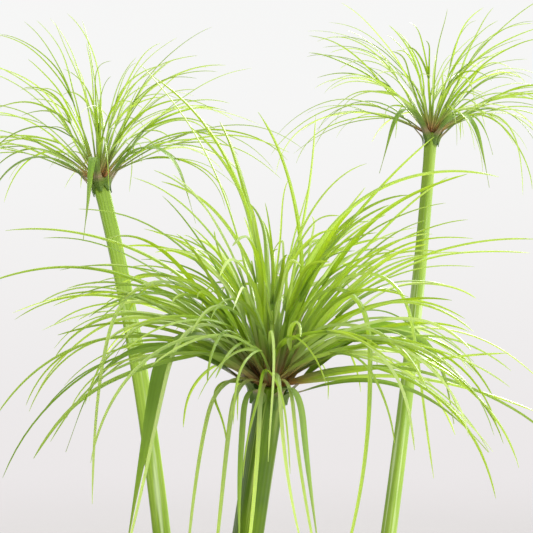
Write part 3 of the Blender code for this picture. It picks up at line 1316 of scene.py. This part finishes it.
@dataclass
class Umbel:
    """The rays of one head: fine blades fanned from the hub, most split into 2 or 3 threads."""

    name: str
    route: StemRoute
    finish: bpy.types.Material
    heroes: tuple
    count: int
    seed: int
    base_width: float = 0.0032
    thickness: float = 0.00050
    hero_stations: int = 40
    stalk_stations: int = 12
    thread_stations: int = 18
    smooth_angle: float = 30.0
    azimuth_wobble: float = 9.0
    flattest: float = 28.0
    steepest: float = 84.0
    rise_range: float = 58.0
    rise_wobble: float = 5.0
    stalk_length: tuple = (0.036, 0.070)
    stalk_droop: tuple = (10.0, 30.0)
    stalk_drift: float = 14.0
    threads_reach: tuple = (0.072, 0.112)
    width_share: tuple = (0.75, 1.15)
    thread_counts: tuple = (1, 2, 2, 3)
    thread_spread: tuple = (8.0, 26.0)
    thread_droop: tuple = (44.0, 96.0)
    thread_length: tuple = (0.78, 1.14)
    thread_ease: tuple = (0.9, 1.5)
    thread_drift: float = 16.0
    thread_width: tuple = (0.66, 0.92)
    tint_wobble: float = 0.15
    edge_room: float = 0.008

    def build(self) -> None:
        """Make all the rays as one mesh in place of the head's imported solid."""
        rng = np.random.default_rng(self.seed)
        batch = StrandBatch(Fold.KEELED, self.thickness)
        for hero in self.heroes:
            self._hero(batch, hero, rng)
        for number in range(self.count):
            self._ray(batch, number, rng)
        self._hold_inside(batch)
        piece = batch.make(f"{self.name}_ray_blades")
        dress(piece, self.finish, self.smooth_angle, f"{self.name}_rays")

    def _centre(self) -> np.ndarray:
        """The point on the hub from which the rays leave."""
        return np.array(self.route.tip) + self.route.axis() * 0.0002

    def _start(self, azimuth: float, rise: float, rng: np.random.Generator) -> np.ndarray:
        """Find where a ray leaves the hub: steep ones at its middle, flat ones at its rim.

        Args:
            azimuth: the ray's azimuth.
            rise: its slope at the hub, in degrees.
            rng: the umbel's random numbers.

        Returns:
            The point.
        """
        axis = self.route.axis()
        outward = heading(azimuth)
        beside = unit(outward - axis * float(outward @ axis))
        spread = self.route.tip_radius * 0.62 * math.sqrt(max(0.0, (92.0 - rise) / 72.0))
        return self._centre() + beside * spread * rng.uniform(0.75, 1.0)

    def _blade_width(
        self, t: np.ndarray, width: float, tip_share: float, opening: float = 1.10
    ) -> np.ndarray:
        """Draw a blade's width: its opening at the base, full, then drawn out to its tip.

        Args:
            t: shares of its length.
            width: its full width.
            tip_share: the share of it that is left near the tip.
            opening: the share of it that there is at the base.

        Returns:
            The width at each share.
        """
        base = opening + (1.0 - opening) * eased(t / 0.12)
        taper = 1.0 - (1.0 - tip_share) * np.clip(t, 0.0, 1.0) ** 1.8
        end = 1.0 - 0.70 * eased((t - 0.93) / 0.07)
        return width * base * taper * end

    def _hero(self, batch: StrandBatch, hero: HeroRay, rng: np.random.Generator) -> None:
        """Add one of the listed rays.

        Args:
            batch: where the blade goes.
            hero: the ray.
            rng: the umbel's random numbers.
        """
        start = self._start(hero.azimuth, hero.rise, rng)
        line, side = hero.bend().line(start, self.hero_stations)
        t = np.linspace(0.0, 1.0, self.hero_stations)
        width = self._blade_width(t, hero.width, 0.34)
        batch.add(line, side, width, t, hero.shade, hero.painted_highlight, hero.roll)

    def _upright(self, rise: float) -> float:
        """How upright a ray is, from 0 at the flattest slope to 1 at the steepest."""
        return np.clip((rise - self.flattest) / (self.steepest - self.flattest), 0.0, 1.0)

    def _ray(self, batch: StrandBatch, number: int, rng: np.random.Generator) -> None:
        """Add one ray of the fan and the threads that it splits into.

        Args:
            batch: where the blades go.
            number: the ray's number, which sets its azimuth and slope.
            rng: the umbel's random numbers.
        """
        azimuth = (number * GOLDEN_ANGLE + rng.normal(0.0, self.azimuth_wobble)) % 360.0
        share = (number + 0.5) / self.count
        rise = self.steepest - self.rise_range * share**0.80 + rng.normal(0.0, self.rise_wobble)
        upright = self._upright(rise)
        stalk = rng.uniform(*self.stalk_length)
        droop = rng.uniform(*self.stalk_droop) * (1.0 - 0.35 * upright)
        drift = rng.normal(0.0, self.stalk_drift)
        bend = Bend(azimuth, rise, rise - droop, stalk, 1.3, drift)
        start = self._start(azimuth, rise, rng)
        line, side = bend.line(start, self.stalk_stations)
        reach = rng.uniform(*self.threads_reach) * (1.0 - 0.22 * upright)
        whole = stalk + reach
        shade, painted_highlight = rng.random() ** 1.1, rng.random() ** 2.6
        width = self.base_width * rng.uniform(*self.width_share)
        t = np.linspace(0.0, 1.0, self.stalk_stations)
        stalk_width = width * (1.15 - 0.15 * eased(t / 0.3))
        roll = rng.uniform(-70.0, 70.0)
        along = t * stalk / whole
        stem = Stalk(line, side, along, stalk_width, bend, whole, width, shade, painted_highlight, roll)
        threads = int(rng.choice(self.thread_counts))
        if threads > 1:
            narrowed = stalk_width * (1.0 - 0.65 * eased((t - 0.70) / 0.30))
            batch.add(line, side, narrowed, along, shade, painted_highlight, roll)
        for k in range(threads):
            self._thread(batch, stem, k, threads, rng)

    def _thread(
        self, batch: StrandBatch, stem: Stalk, k: int, threads: int, rng: np.random.Generator
    ) -> None:
        """Add one of the threads that a ray splits into, or carry an undivided ray on.

        Args:
            batch: where the blade goes.
            stem: the stalk that it grows from.
            k: its number among the stalk's threads.
            threads: how many of them there are.
            rng: the umbel's random numbers.
        """
        parent = stem.bend
        alone = threads == 1
        off_middle = k - (threads - 1) / 2
        middle = off_middle / max(1, threads - 1)
        azimuth = parent.azimuth + parent.drift + middle * rng.uniform(*self.thread_spread)
        kink = rng.normal(2.0, 7.0)
        rise = parent.fall + (0.0 if alone else kink)
        droop = rng.uniform(*self.thread_droop) * (1.0 - 0.30 * self._upright(parent.rise))
        length = (stem.whole - parent.length) * rng.uniform(*self.thread_length)
        ease, drift = rng.uniform(*self.thread_ease), rng.normal(0.0, self.thread_drift)
        bend = Bend(azimuth, rise, rise - droop, length, ease, drift)
        apart = off_middle * 0.30 * stem.full_width
        start = stem.line[-1] if alone else stem.line[-3] + stem.side[-3] * apart
        line, side = bend.line(start, self.thread_stations)
        t = np.linspace(0.0, 1.0, self.thread_stations)
        fine = stem.full_width * rng.uniform(*self.thread_width)
        along = np.clip((parent.length + t * length) / stem.whole, 0.0, 1.0)
        opening = stem.full_width / fine if alone else 0.45
        width = self._blade_width(t, fine, 0.30, opening)
        shade = float(np.clip(stem.shade + rng.normal(0.0, self.tint_wobble), 0.0, 1.0))
        painted_highlight = float(np.clip(stem.painted_highlight + rng.normal(0.0, self.tint_wobble), 0.0, 1.0))
        roll = rng.uniform(-75.0, 75.0)
        if alone:
            line = np.vstack((stem.line[:-1], line))
            side = np.vstack((stem.side[:-1], side))
            along = np.concatenate((stem.along[:-1], along))
            width = np.concatenate((stem.width[:-1], width))
            roll = stem.roll
        batch.add(line, side, width, along, shade, painted_highlight, roll)

    def _hold_inside(self, batch: StrandBatch) -> None:
        """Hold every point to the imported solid's box with a little room round it.

        Args:
            batch: the umbel's blades.
        """
        low, high = box_of(f"{self.name}_rays")
        beyond = 0.0
        for points in batch.points:
            beyond = max(beyond, float((low - points).max()), float((points - high).max()))
            np.clip(points, low - self.edge_room, high + self.edge_room, out=points)
        LOG.info("%s rays reach %.4f m beyond their packed box", self.name, beyond)


# ================================================================ pot, soil and shoots


@dataclass
class Pot:
    """A thrown pot: straight tapered wall, rolled lip and a small turned foot."""

    height: float
    rim_radius: float
    foot_radius: float
    finish: bpy.types.Material
    wall: float = 0.008
    floor: float = 0.012
    fillet: float = 0.014
    foot_turn: float = 0.006
    groove_below_rim: float = 0.016
    groove_half_height: float = 0.0016
    groove_depth: float = 0.0008
    smooth_angle: float = 50.0
    steps: int = 96

    def profile(self) -> list[tuple[float, float]]:
        """Draw the wall's outline, from the middle of the floor over the lip to the underside.

        Returns:
            The radius and height of each point.
        """
        lip = self.wall / 2
        slope = (self.rim_radius - self.foot_radius) / self.height
        fillet_height = self.floor + self.fillet
        inside = self.foot_radius + slope * fillet_height - self.wall
        groove = self.height - self.groove_below_rim
        outside = self.foot_radius + slope * groove
        foot = (self.foot_radius - self.foot_turn, self.foot_turn)
        return [
            (0.0, self.floor),
            *arc((inside - self.fillet, fillet_height), self.fillet, -90, 0, 6),
            *arc((self.rim_radius - lip, self.height - lip), lip, 180, 0, 10),
            (outside + 0.0002, groove + self.groove_half_height),
            (outside - self.groove_depth, groove),
            (outside - 0.0001, groove - self.groove_half_height),
            *arc(foot, self.foot_turn, 0, -90, 6),
            (0.0, 0.0),
        ]

    def build(self) -> None:
        """Spin the outline round the pot's axis and dress it."""
        points = self.profile()
        clear_selection()
        bpy.ops.mesh.primitive_plane_add(size=0.01)
        piece = bpy.context.active_object
        piece.name = piece.data.name = "pot_body"
        bpy.ops.object.mode_set(mode="EDIT")
        bpy.ops.mesh.select_all(action="SELECT")
        bpy.ops.mesh.merge(type="CENTER")
        bpy.ops.transform.translate(value=(points[0][0], 0.0, points[0][1]))
        for before, after in zip(points, points[1:]):
            move = (after[0] - before[0], 0.0, after[1] - before[1])
            bpy.ops.mesh.extrude_vertices_move(TRANSFORM_OT_translate={"value": move})
        bpy.ops.mesh.select_all(action="SELECT")
        bpy.ops.mesh.spin(steps=self.steps, angle=math.tau, center=(0, 0, 0), axis=(0, 0, 1))
        bpy.ops.mesh.select_all(action="SELECT")
        bpy.ops.mesh.remove_doubles(threshold=0.00005)
        bpy.ops.object.mode_set(mode="OBJECT")
        face_outward(piece)
        dress(piece, self.finish, self.smooth_angle, "pot")


@dataclass
class Soil:
    """Crumbly soil: a lumpy surface just under the lip, with loose crumbs and bark on it."""

    finish: bpy.types.Material
    stems: tuple
    seed: int = 11
    rings: int = 46
    around: int = 120
    mound: float = 0.0055
    mound_reach: float = 0.013
    rim_gap: float = 0.0012
    sink: float = 0.0015
    depth: float = 0.03
    crumbs: int = 1500
    bark_share: float = 0.10
    smooth_angle: float = 60.0

    def build(self) -> None:
        """Make the lumpy bed and the crumbs as one piece."""
        high = box_of("soil")[1]
        top = float(high[2])
        radius = float(high[0]) - self.rim_gap
        points, faces = self._bed(top, radius)
        self._crumbs(points, faces, top, radius)
        mesh = bpy.data.meshes.new("soil_bed")
        mesh.from_pydata([tuple(p) for p in points], [], faces)
        mesh.update()
        piece = bpy.data.objects.new("soil_bed", mesh)
        bpy.context.scene.collection.objects.link(piece)
        face_outward(piece)
        dress(piece, self.finish, self.smooth_angle, "soil")

    def _lumps(self, x: np.ndarray, y: np.ndarray) -> np.ndarray:
        """Find the height of the soil's lumps, and of its mounds at the stems.

        Args:
            x: the points' places across.
            y: the points' places from front to back.

        Returns:
            The height at each point over the bed's level.
        """
        rng = np.random.default_rng(self.seed)
        height = np.zeros_like(x)
        for wave, size in ((60.0, 0.0016), (140.0, 0.0010), (330.0, 0.0007), (700.0, 0.00045)):
            for _ in range(5):
                turn, phase = rng.uniform(0, math.tau, 2)
                run = np.cos(turn) * x + np.sin(turn) * y
                height += size / 2.2 * np.sin(run * wave * rng.uniform(0.7, 1.3) + phase)
        for foot_x, foot_y, foot_radius in self.stems:
            away = np.hypot(x - foot_x, y - foot_y) - foot_radius
            height += self.mound * (1.0 - np.asarray(eased(away / self.mound_reach)))
        return height

    def _bed(self, top: float, radius: float) -> tuple[list, list]:
        """The closed body of the soil: a polar grid above, and its side and underside.

        Args:
            top: the level of its top.
            radius: its radius there.

        Returns:
            Its points and faces.
        """
        level = top - self.sink
        middle = float(self._lumps(np.zeros(1), np.zeros(1))[0])
        points = [np.array((0.0, 0.0, level + middle))]
        faces = []
        turns = np.arange(self.around) * math.tau / self.around
        for ring in range(1, self.rings + 1):
            r = radius * ring / self.rings
            x, y = r * np.cos(turns), r * np.sin(turns)
            z = level + self._lumps(x, y) - 0.002 * eased((r / radius - 0.93) / 0.07)
            points += [np.array(p) for p in zip(x, y, z)]
        for k in range(self.around):
            faces.append((0, 1 + k, 1 + (k + 1) % self.around))
        for ring in range(self.rings - 1):
            a, b = 1 + ring * self.around, 1 + (ring + 1) * self.around
            for k in range(self.around):
                n = (k + 1) % self.around
                faces.append((a + k, b + k, b + n, a + n))
        rim = 1 + (self.rings - 1) * self.around
        base = len(points)
        deep = top - self.depth
        small = radius - 0.007
        points += [np.array((small * math.cos(t), small * math.sin(t), deep)) for t in turns]
        for k in range(self.around):
            n = (k + 1) % self.around
            faces.append((rim + k, base + k, base + n, rim + n))
        faces.append(tuple(range(base + self.around - 1, base - 1, -1)))
        return points, faces

    def _crumbs(self, points: list, faces: list, top: float, radius: float) -> None:
        """Add loose crumbs, each a small uneven eight-sided lump, and a few flat bark chips.

        Args:
            points: the bed's points, to which the crumbs' are added.
            faces: the bed's faces, likewise.
            top: the level of the bed's top.
            radius: its radius there.
        """
        rng = np.random.default_rng(self.seed + 1)
        lump = np.array([sign * row for row in np.eye(3) for sign in (1.0, -1.0)])
        upper = ((0, 2, 4), (2, 1, 4), (1, 3, 4), (3, 0, 4))
        lower = ((2, 0, 5), (1, 2, 5), (3, 1, 5), (0, 3, 5))
        for _ in range(self.crumbs):
            r = radius * math.sqrt(rng.uniform(0.0, 0.94))
            turn = rng.uniform(0, math.tau)
            x, y = r * math.cos(turn), r * math.sin(turn)
            if any(math.hypot(x - s[0], y - s[1]) < s[2] + 0.003 for s in self.stems):
                continue
            bark = rng.random() < self.bark_share
            size = rng.uniform(0.0008, 0.0030) * (1.7 if bark else 1.0)
            shape = lump * size * rng.uniform(0.6, 1.2, (6, 3))
            if bark:
                shape[:, 2] *= 0.35
            about_z = Matrix.Rotation(rng.uniform(0, math.tau), 3, "Z")
            about_x = Matrix.Rotation(rng.uniform(-0.6, 0.6), 3, "X")
            spin = about_z @ about_x
            ground = float(self._lumps(np.array([x]), np.array([y]))[0])
            z = top - self.sink + ground + size * 0.25
            base = len(points)
            points += [np.array(spin @ Vector(p)) + np.array((x, y, z)) for p in shape]
            faces += [(base + a, base + b, base + c) for a, b, c in upper + lower]


@dataclass
class Bud:
    """A young shoot's closed umbel: a spear of overlapping bracts."""

    name: str
    route: StemRoute
    length: float
    radius: float
    finish: bpy.types.Material
    bracts: int = 9
    stations: int = 20
    smooth_angle: float = 30.0
    thickness: float = 0.0012

    def build(self) -> None:
        """Lay the bracts round the spear, each a long folded blade that closes on the tip."""
        batch = StrandBatch(Fold.KEELED, self.thickness)
        axis = self.route.axis()
        start = np.array(self.route.tip)
        side0 = unit(np.cross(axis, np.array((1.0, 0.0, 0.0))))
        side1 = np.cross(axis, side0)
        t = np.linspace(0.0, 1.0, self.stations)
        swelling = np.sin(np.pi * t**0.62)
        width = self.radius * 1.25 * np.sin(np.pi * (0.10 + 0.88 * t) ** 0.75) + 0.0004
        for k in range(self.bracts):
            turn = math.tau * k / self.bracts + 0.3 * (k % 3)
            out = side0 * math.cos(turn) + side1 * math.sin(turn)
            across = np.cross(axis, out)
            length = self.length * (1.0 - 0.09 * (k % 4))
            bulge = self.radius * (0.46 + 0.10 * (k % 3)) * swelling + 0.0008
            line = start + axis * (t * length)[:, None] + out * bulge[:, None]
            side = np.repeat(-across[None, :], self.stations, axis=0)
            batch.add(line, side, width, 0.14 + 0.8 * t, 0.25 + 0.1 * (k % 4), 0.15 * (k % 3))
        piece = batch.make(f"{self.name}_spear")
        dress(piece, self.finish, self.smooth_angle, f"{self.name}_bud")


# ================================================================ studio


@dataclass(frozen=True)
class Lamp:
    """A square soft lamp: its place, the point it faces, its side in metres and its watts."""

    name: str
    place: tuple
    aim: tuple
    size: float
    power: float
    colour: tuple

    def hang(self) -> None:
        """Add the lamp to the scene."""
        light = bpy.data.lights.new(self.name, "AREA")
        light.size = self.size
        light.energy = self.power
        light.color = self.colour
        lamp = bpy.data.objects.new(self.name, light)
        lamp.location = self.place
        towards = Vector(self.aim) - Vector(self.place)
        lamp.rotation_euler = towards.to_track_quat("-Z", "Y").to_euler()
        bpy.context.scene.collection.objects.link(lamp)


LAMPS = (
    Lamp("back_light", (1.5, 2.2, 2.4), (0.05, 0.0, 0.75), 1.2, 215.0, (1.0, 0.985, 0.93)),
    Lamp("left_light", (-2.4, -1.2, 1.9), (0.0, 0.0, 0.7), 1.8, 4.0, (1.0, 1.0, 1.0)),
    Lamp("right_light", (2.6, -1.6, 1.7), (0.0, 0.0, 0.6), 1.6, 34.0, (1.0, 0.99, 0.97)),
    Lamp("front_light", (0.5, -2.4, 2.3), (0.05, -0.2, 0.74), 0.9, 44.0, (1.0, 0.985, 0.95)),
)


@dataclass(frozen=True)
class Studio:
    """A pale floor, soft light from all round, and the camera at the front umbel."""

    hub: tuple
    distance: float = 0.90
    lens: float = 121.6
    look_above: float = 0.0582
    look_left: float = 0.0018
    floor_radius: float = 7.0
    floor_drop: float = 0.0004
    floor_fade: tuple = (1.2, 6.0)
    floor_tones: tuple = ((0.340, 0.337, 0.334), (0.370, 0.367, 0.364))
    seen_tones: tuple = ((0.83, 0.80, 0.805), (0.925, 0.925, 0.92))
    shed_tones: tuple = ((0.36, 0.37, 0.38), (1.80, 1.77, 1.66))
    brightest_towards: tuple = (0.66, 0.42, 0.62)

    def build(self) -> None:
        """Set the floor, the sky, the lamps and the camera."""
        self._floor()
        self._sky()
        for lamp in LAMPS:
            lamp.hang()
        self._camera()

    def _floor(self) -> None:
        """A wide pale disc that fades into the sky."""
        clear_selection()
        bpy.ops.mesh.primitive_circle_add(
            vertices=96,
            radius=self.floor_radius,
            fill_type="NGON",
            location=(0, 0, -self.floor_drop),
        )
        floor = bpy.context.active_object
        floor.name = "studio_floor"
        made, kit, shader = new_material("studio_floor")
        place = kit.place()
        length = kit.add("VectorMath", operation="LENGTH")
        kit.join(place, length.inputs[0])
        grain = kit.noise(place, 3.0, 2.0)
        colour = kit.mix(grain, *self.floor_tones)
        kit.put(shader.inputs["Base Color"], colour)
        shader.inputs["Roughness"].default_value = 0.7
        fade = kit.span(length.outputs["Value"], *self.floor_fade, (1.0, 0.0))
        kit.put(shader.inputs["Alpha"], fade)
        floor.data.materials.append(made)

    def _sky(self) -> None:
        """A bright, nearly white surround with a slight blush low down."""
        world = bpy.data.worlds.new("studio_sky")
        world.use_nodes = True
        kit = NodeKit(world.node_tree)
        place = kit.add("TexCoord").outputs["Generated"]
        rise = kit.span(kit.part(place, "Z"), -0.15, 0.12)
        seen = kit.mix(rise, *self.seen_tones)
        towards = kit.add("VectorMath", operation="DOT_PRODUCT")
        kit.join(place, towards.inputs[0])
        towards.inputs[1].default_value = self.brightest_towards
        lit = kit.span(towards.outputs["Value"], -0.55, 0.85)
        shed = kit.mix(lit, *self.shed_tones)
        direct = kit.add("LightPath").outputs["Is Camera Ray"]
        surround = world.node_tree.nodes["Background"]
        kit.put(surround.inputs["Color"], kit.mix(direct, shed, seen))
        surround.inputs["Strength"].default_value = 1.0
        bpy.context.scene.world = world

    def _camera(self) -> None:
        """The camera, level with the front umbel and looking along +Y."""
        camera = bpy.data.cameras.new("camera")
        camera.sensor_width = 36.0
        camera.lens = self.lens
        camera.clip_start = 0.05
        camera.clip_end = 60.0
        holder = bpy.data.objects.new("camera", camera)
        hub = Vector(self.hub)
        aim = hub + Vector((-self.look_left, 0.0, self.look_above))
        holder.location = aim + Vector((0.0, -self.distance, 0.0))
        holder.rotation_euler = (math.radians(90), 0.0, 0.0)
        bpy.context.scene.collection.objects.link(holder)
        bpy.context.scene.camera = holder
        bpy.context.scene.view_settings.view_transform = "Standard"


# ================================================================ the plant's own measures

FRONT_ROUTE = StemRoute(
    foot=(-0.028, -0.034, 0.148),
    bend=(0.006, -0.125, 0.485),
    tip=(0.045, -0.215, 0.735),
    foot_radius=0.0112,
    tip_radius=0.0086,
)
LEFT_ROUTE = StemRoute(
    foot=(-0.012, 0.038, 0.148),
    bend=(0.006, 0.064, 0.570),
    tip=(-0.073, 0.135, 0.853),
    foot_radius=0.0082,
    tip_radius=0.0056,
)
RIGHT_ROUTE = StemRoute(
    foot=(0.036, 0.012, 0.148),
    bend=(0.140, 0.225, 0.540),
    tip=(0.176, 0.335, 0.899),
    foot_radius=0.0080,
    tip_radius=0.0052,
)
TALL_SHOOT = StemRoute(
    foot=(0.020, -0.042, 0.148),
    bend=(0.030, -0.052, 0.300),
    tip=(0.046, -0.072, 0.400),
    foot_radius=0.0066,
    tip_radius=0.0042,
)
SHORT_SHOOT = StemRoute(
    foot=(-0.054, 0.010, 0.148),
    bend=(-0.060, 0.014, 0.235),
    tip=(-0.072, 0.020, 0.290),
    foot_radius=0.0058,
    tip_radius=0.0038,
)

# Each bract: azimuth, rise, fall, crest, softness, length, width, shade and glow, its painted
# highlight.
FRONT_BRACTS = (
    BractShape(-8, 44, -80, 0.52, 0.70, 0.130, 0.0084, 0.25, 0.15, roll=-50),
    BractShape(36, 48, -50, 0.55, 0.90, 0.128, 0.0058, 0.60, 0.10),
    BractShape(142, 46, -52, 0.52, 0.90, 0.126, 0.0058, 0.70, 0.10),
    BractShape(174, 34, -70, 0.45, 0.80, 0.134, 0.0044, 0.75, 0.20, roll=40),
    BractShape(-148, 52, -78, 0.27, 0.36, 0.172, 0.0096, 0.50, 0.25, roll=26),
    BractShape(-112, 30, -84, 0.12, 0.26, 0.112, 0.0034, 0.25, 0.60),
    BractShape(-66, 30, -78, 0.18, 0.34, 0.122, 0.0036, 0.20, 0.40),
    BractShape(-30, 16, -44, 0.50, 0.90, 0.124, 0.0036, 0.10, 0.40, roll=-40),
)
LEFT_BRACTS = (
    BractShape(20, 58, -20, 0.62, 0.90, 0.118, 0.0074),
    BractShape(-38, 44, -68, 0.40, 0.70, 0.122, 0.0060),
    BractShape(-92, 40, -70, 0.34, 0.60, 0.112, 0.0054),
    BractShape(-150, 42, -62, 0.40, 0.80, 0.118, 0.0058),
    BractShape(162, 48, -50, 0.50, 0.90, 0.110, 0.0054),
)
RIGHT_BRACTS = (
    BractShape(-12, 44, -60, 0.46, 0.80, 0.112, 0.0056),
    BractShape(-60, 40, -70, 0.34, 0.60, 0.116, 0.0056),
    BractShape(-122, 42, -66, 0.38, 0.70, 0.118, 0.0060),
    BractShape(178, 50, -48, 0.50, 0.90, 0.110, 0.0052),
    BractShape(48, 46, -60, 0.48, 0.80, 0.108, 0.0052),
)
# Each ray: azimuth, rise, fall, length, ease, width, drift, shade, glow (its painted highlight)
# and roll, and for those with a crest its place, softness, curl and bow.
FRONT_HEROES = (
    HeroRay(182, 92, 34, 0.172, 1.5, 0.0027, 0, 0.30, 0.10, 70),
    HeroRay(174, 84, 46, 0.182, 1.3, 0.0012, 0, 0.20, 0.45, 60),
    HeroRay(-4, 82, -18, 0.176, 1.5, 0.0027, 0, 0.25, 0.25, -70),
    HeroRay(4, 74, 36, 0.150, 1.2, 0.0024, 0, 0.15, 0.10, -60),
    HeroRay(12, 66, 30, 0.140, 1.1, 0.0022, 0, 0.25, 0.10, -55),
    HeroRay(20, 66, 128, 0.142, 1.2, 0.0026, 0, 0.60, 0.15, -60),
    HeroRay(10, 78, 84, 0.136, 1.2, 0.0018, 0, 0.30, 0.40, -70),
    HeroRay(-20, 58, -8, 0.160, 1.2, 0.0024, 4, 0.10, 0.15, -50),
    HeroRay(-44, 64, -84, 0.232, 1.1, 0.0028, 0, 0.20, 0.25, -40, 0.30, 0.34, -26, -0.07),
    HeroRay(-24, 58, -76, 0.190, 1.1, 0.0026, 0, 0.10, 0.30, -40, 0.42, 0.40, -20, 0.06),
    HeroRay(-150, 54, -66, 0.200, 1.1, 0.0026, 0, 0.35, 0.55, 40, 0.40, 0.46, -34, 0.05),
    HeroRay(-132, 48, -70, 0.190, 1.1, 0.0024, 0, 0.20, 0.80, 40, 0.30, 0.40, -22, -0.09),
    HeroRay(186, 4, -128, 0.056, 1.1, 0.0024, 0, 0.55, 0.15, 40, 0.42, 0.40, 70),
    HeroRay(-30, 44, -74, 0.158, 1.0, 0.0024, 4, 0.20, 0.25, -45),
    HeroRay(-85, 62, -80, 0.150, 0.9, 0.0020, -14, 0.25, 0.55, 30),
    HeroRay(-126, 56, -74, 0.160, 0.9, 0.0024, -6, 0.45, 0.40, 40),
    HeroRay(-160, 44, -56, 0.156, 1.0, 0.0022, 0, 0.60, 0.15, 50),
    HeroRay(188, 54, -22, 0.160, 1.2, 0.0024, 6, 0.55, 0.10, 60),
    HeroRay(172, 62, -10, 0.165, 1.2, 0.0024, 0, 0.45, 0.30, 55),
    HeroRay(160, 50, -30, 0.155, 1.1, 0.0022, 0, 0.60, 0.20, 50),
    HeroRay(-16, 14, 2, 0.116, 1.2, 0.0026, 4, 0.10, 0.20, -55),
    HeroRay(-6, 8, -26, 0.132, 1.4, 0.0024, 0, 0.05, 0.30, -60),
    HeroRay(-70, 30, -80, 0.120, 0.35, 0.0024, 0, 0.10, 0.55, 10, 0.16, 0.30, -16, 0.12),
    HeroRay(-100, 24, -82, 0.128, 0.30, 0.0026, 0, 0.15, 0.75, -15, 0.12, 0.28, -14, -0.08),
    HeroRay(-122, 26, -76, 0.132, 0.35, 0.0026, 0, 0.20, 0.45, 20, 0.16, 0.34, -18, -0.06),
    HeroRay(-84, 38, -84, 0.106, 0.40, 0.0022, 0, 0.05, 0.90, -10, 0.20, 0.34, -10, 0.10),
    HeroRay(-142, 22, -68, 0.130, 0.40, 0.0024, 0, 0.35, 0.45, 30, 0.18, 0.36, -22, 0.05),
)


def main() -> None:
    """Build the plant piece by piece, then the studio."""
    logging.basicConfig(level=logging.INFO, format="%(message)s")
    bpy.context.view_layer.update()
    effects = SharedEffects()
    leaf, bract = RAY_GREEN.make(effects), BRACT_GREEN.make(effects)
    culm, sheath = CULM_GREEN.make(effects), SHEATH_BROWN.make(effects)
    young = YOUNG_CULM_GREEN.make(effects)

    high = box_of("pot")[1]
    glaze = POT_GLAZE.make(effects)
    Pot(float(high[2]), float(high[0]), foot_radius=0.090, finish=glaze).build()
    feet = tuple(
        (r.foot[0], r.foot[1], r.foot_radius)
        for r in (FRONT_ROUTE, LEFT_ROUTE, RIGHT_ROUTE, TALL_SHOOT, SHORT_SHOOT)
    )
    Soil(POTTING_SOIL.make(effects), feet).build()
    for name, route, green in (
        ("front", FRONT_ROUTE, culm),
        ("left", LEFT_ROUTE, young),
        ("right", RIGHT_ROUTE, young),
    ):
        Culm(name, route, green, sheath).build()
    for name, route in (("tall_shoot", TALL_SHOOT), ("short_shoot", SHORT_SHOOT)):
        Culm(name, route, young, sheath, swell=1.0, rings=18).build()
    Bud("tall_shoot", TALL_SHOOT, length=0.105, radius=0.0070, finish=bract).build()
    Bud("short_shoot", SHORT_SHOOT, length=0.080, radius=0.0060, finish=bract).build()
    for name, route, shapes in (
        ("front", FRONT_ROUTE, FRONT_BRACTS),
        ("left", LEFT_ROUTE, LEFT_BRACTS),
        ("right", RIGHT_ROUTE, RIGHT_BRACTS),
    ):
        BractWhorl(name, route, shapes, bract).build()
    Umbel("front", FRONT_ROUTE, leaf, FRONT_HEROES, count=106, seed=5).build()
    for name, route, count, seed in (("left", LEFT_ROUTE, 56, 23), ("right", RIGHT_ROUTE, 54, 41)):
        Umbel(name, route, leaf, (), count, seed, base_width=0.0019).build()
    Studio(FRONT_ROUTE.tip).build()


if __name__ == "__main__":
    main()
